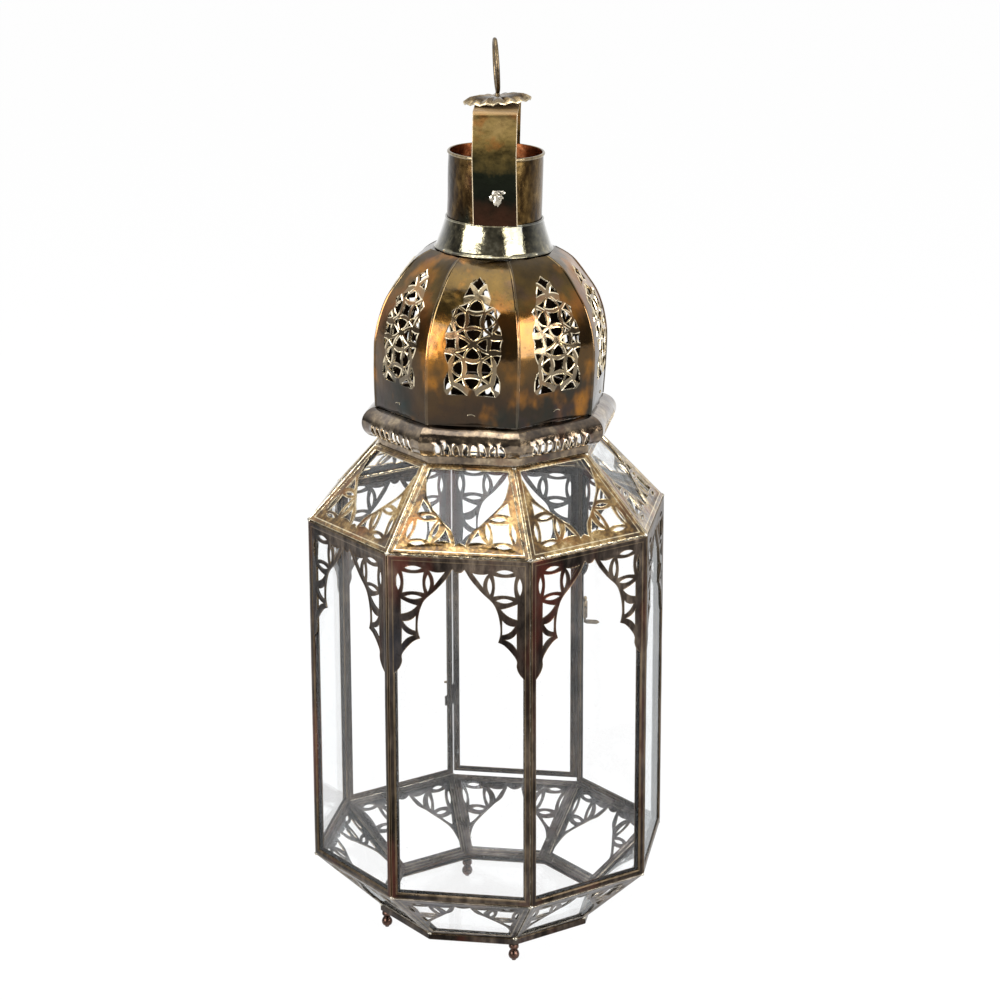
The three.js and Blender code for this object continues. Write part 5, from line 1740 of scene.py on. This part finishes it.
# %% Cap
CAP_FLUTES, CAP_STEPS, CAP_THICKNESS = 16, 8, 0.7
CAP_TILT = math.radians(-6)
CAP_SEAT = STRAP_RISE + CLEARANCE + STRAP_HALF * math.sin(-CAP_TILT)
CAP_LEVELS = ((21.2, 0.4, 0.6, 0.3), (20.7, 0.8, 0.65, 0.3), (18.3, 2.3, 0.7, 0.15), (15, 3.0, 0.6, 0),
              (11, 3.3, 0.4, 0), (8, 3.3, 0.1, 0), (2.3, 3.3, 0, 0))
tilt = Matrix.Rotation(math.radians(-3.5), 3, "X") @ Matrix.Rotation(CAP_TILT, 3, LEAN_AXIS)


def cap_rows(drop):
    """Rows of the cap from its rim inward; a level is a radius, a height and two depths of the zigzag."""
    rows = []
    for radius, height, flute, scallop in CAP_LEVELS:
        row = []
        for step in range(CAP_FLUTES * CAP_STEPS):
            angle = 2 * math.pi * step / (CAP_FLUTES * CAP_STEPS)
            wave = 1 - 2 * abs(CAP_FLUTES * angle / math.pi % 2 - 1)
            ripple = 0.25 * noise.noise(Vector((4 * math.cos(angle), 4 * math.sin(angle), 1))) * radius / 21
            out = radius + scallop * wave
            level = height + flute * wave + ripple - drop
            row.append(Vector((out * math.cos(angle), out * math.sin(angle), level)))
        rows.append(row)
    return rows


cap = Shape()
cap_edges = (0.5, 0.2) + (0.0,) * 10 + (0.2, 0.9)
cap.grid(cap_rows(0) + cap_rows(CAP_THICKNESS)[::-1], around=True, closed=True, edges=cap_edges)
cap.moved(lambda point: to_crown(tilt @ point + Vector((0, 0, CAP_SEAT))))
cap.piece("fluted_cap", [CAP_BRASS], "rosette", "polished_brass")
print("cap faces:", len(cap.faces))

# %% [markdown]
# ## Hanging ring
#
# The ring is one wire bent to a long loop, on a shank that turns in the strap. Under the strap a small
# nut keeps the shank from slipping out. The loop leans back a little, as in the photograph.

# %% Ring
RING_FOOT = CAP_SEAT + 3.4 + 1.2
RING_WIRE, RING_WIDTH, RING_HEIGHT, RING_STEPS = 1.35, 21.5, 32.5, 72
RING_TURN, RING_LEAN = math.radians(14), -math.radians(4.5)
NUT_TOP = STRAP_RISE - 1.3
NUT_PROFILE = [(0.3, NUT_TOP - 1.4), (2.6, NUT_TOP - 1.4), (3, NUT_TOP - 1.1), (3, NUT_TOP - 0.2),
               (2.7, NUT_TOP), (0.3, NUT_TOP)]
lean_back = Matrix.Rotation(RING_LEAN, 3, "Y")
loop = []
for step in range(RING_STEPS):
    angle = 2 * math.pi * step / RING_STEPS
    flat = Vector((0, RING_WIDTH / 2 * math.sin(angle), RING_HEIGHT / 2 * (1 - math.cos(angle))))
    loop.append(lean_back @ flat + Vector((0, 0, RING_FOOT + RING_WIRE)))

ring = Shape()
ring.grid(wire_rows(loop, RING_WIRE, 14, closed=True, first=(1, 0, 0)), around=True, closed=True)
shank = [Vector((0, 0, STRAP_RISE - 2.4 + (RING_FOOT + 4.6 - STRAP_RISE) * i / 5)) for i in range(6)]
wire(ring, shank, RING_WIRE, 14)
ring.grid(turned(NUT_PROFILE, 24), around=True)
ring.moved(lambda point: to_crown(point, RING_TURN))
ring.piece("ring_wire", [WIRE_BRASS], "hanging_ring", "wire_bronze")

# %% [markdown]
# ## The white around the lantern
#
# The photograph was taken on white with large soft lamps. White could come from very strong light, but
# that would bleach the brass. Instead the world is plain white to the camera and to glass. Metal sees
# white only behind the lantern and overhead, and a dim studio on the camera's side, which gives it
# contrast.

# %% World
AMBIENT = 0.75
RAYS = ("Is Camera Ray", "Is Glossy Ray", "Is Transmission Ray")


def rays(shader):
    """Signals that are 1 for what the camera sees, what metal mirrors and what shows through glass."""
    return [shader.node("ShaderNodeLightPath", output=kind) for kind in RAYS]


world = bpy.data.worlds.new("studio")
bpy.context.scene.world = world
sky = Shader(world)
direction = sky.node("ShaderNodeTexCoord", output="Generated")
mirrored = (sky.axis(direction, "Y") + sky.axis(direction, "Z") * 0.9).rise(0.1, 0.7, 0.14, 1.0)
seen, shiny, through = rays(sky)
strength = seen + through + shiny * mirrored + (1 - seen - through - shiny) * AMBIENT
background = sky.node("ShaderNodeBackground", {}, {"Color": colour("#ffffff"), "Strength": strength})
sky.show(background, "ShaderNodeOutputWorld")
print("world nodes:", len(world.node_tree.nodes))

# %% [markdown]
# ## Floor
#
# A white floor can be overlit or can glow. This one is white paper that takes light and shadow, mixed
# with a plain glow for the camera, for metal and for glass, so that it stays white and keeps a faint
# shadow.

# %% Floor
FLOOR_GLOW = 0.95
FLOOR_HALF = 8


def floor_finish():
    finish = Finish("floor")
    paper = finish.node("ShaderNodeBsdfDiffuse", {}, {"Color": colour("#ffffff")})
    glow = finish.node("ShaderNodeEmission", {}, {"Color": colour("#ffffff"), "Strength": 1.0})
    seen, shiny, through = rays(finish)
    finish.show(finish.layered((seen + shiny + through) * FLOOR_GLOW, paper, glow))
    return finish.material


floor_mesh = bpy.data.meshes.new("floor")
floor_corners = [(x * FLOOR_HALF, y * FLOOR_HALF, 0) for x, y in ((-1, -1), (1, -1), (1, 1), (-1, 1))]
floor_mesh.from_pydata(floor_corners, [], [(0, 1, 2, 3)])
floor_mesh.materials.append(floor_finish())
floor = bpy.data.objects.new("floor", floor_mesh)
bpy.context.scene.collection.objects.link(floor)
print("floor:", 2 * FLOOR_HALF, "m wide")

# %% [markdown]
# ## Lamps
#
# Three soft boxes light the lantern: one on each side of the camera, low enough to be mirrored in the
# upright metal as tall highlights, and one overhead. Small lamps would give hard points on every dent
# instead.

# %% Lamps
AIM = (0, 0, 0.33)


def softbox(name, place, width, height, power):
    lamp = bpy.data.lights.new(name, "AREA")
    lamp.shape = "RECTANGLE"
    lamp.size = width
    lamp.size_y = height
    lamp.energy = power
    lamp_object = bpy.data.objects.new(name, lamp)
    lamp_object.location = place
    lamp_object.rotation_euler = (Vector(AIM) - Vector(place)).to_track_quat("-Z", "Y").to_euler()
    bpy.context.scene.collection.objects.link(lamp_object)


softbox("key", (-1.1, -1.3, 0.78), 1.2, 0.95, 36)
softbox("fill", (1.42, -0.95, 0.78), 1.25, 0.95, 36)
softbox("top", (-0.2, -0.3, 2.0), 1.6, 1.4, 20)
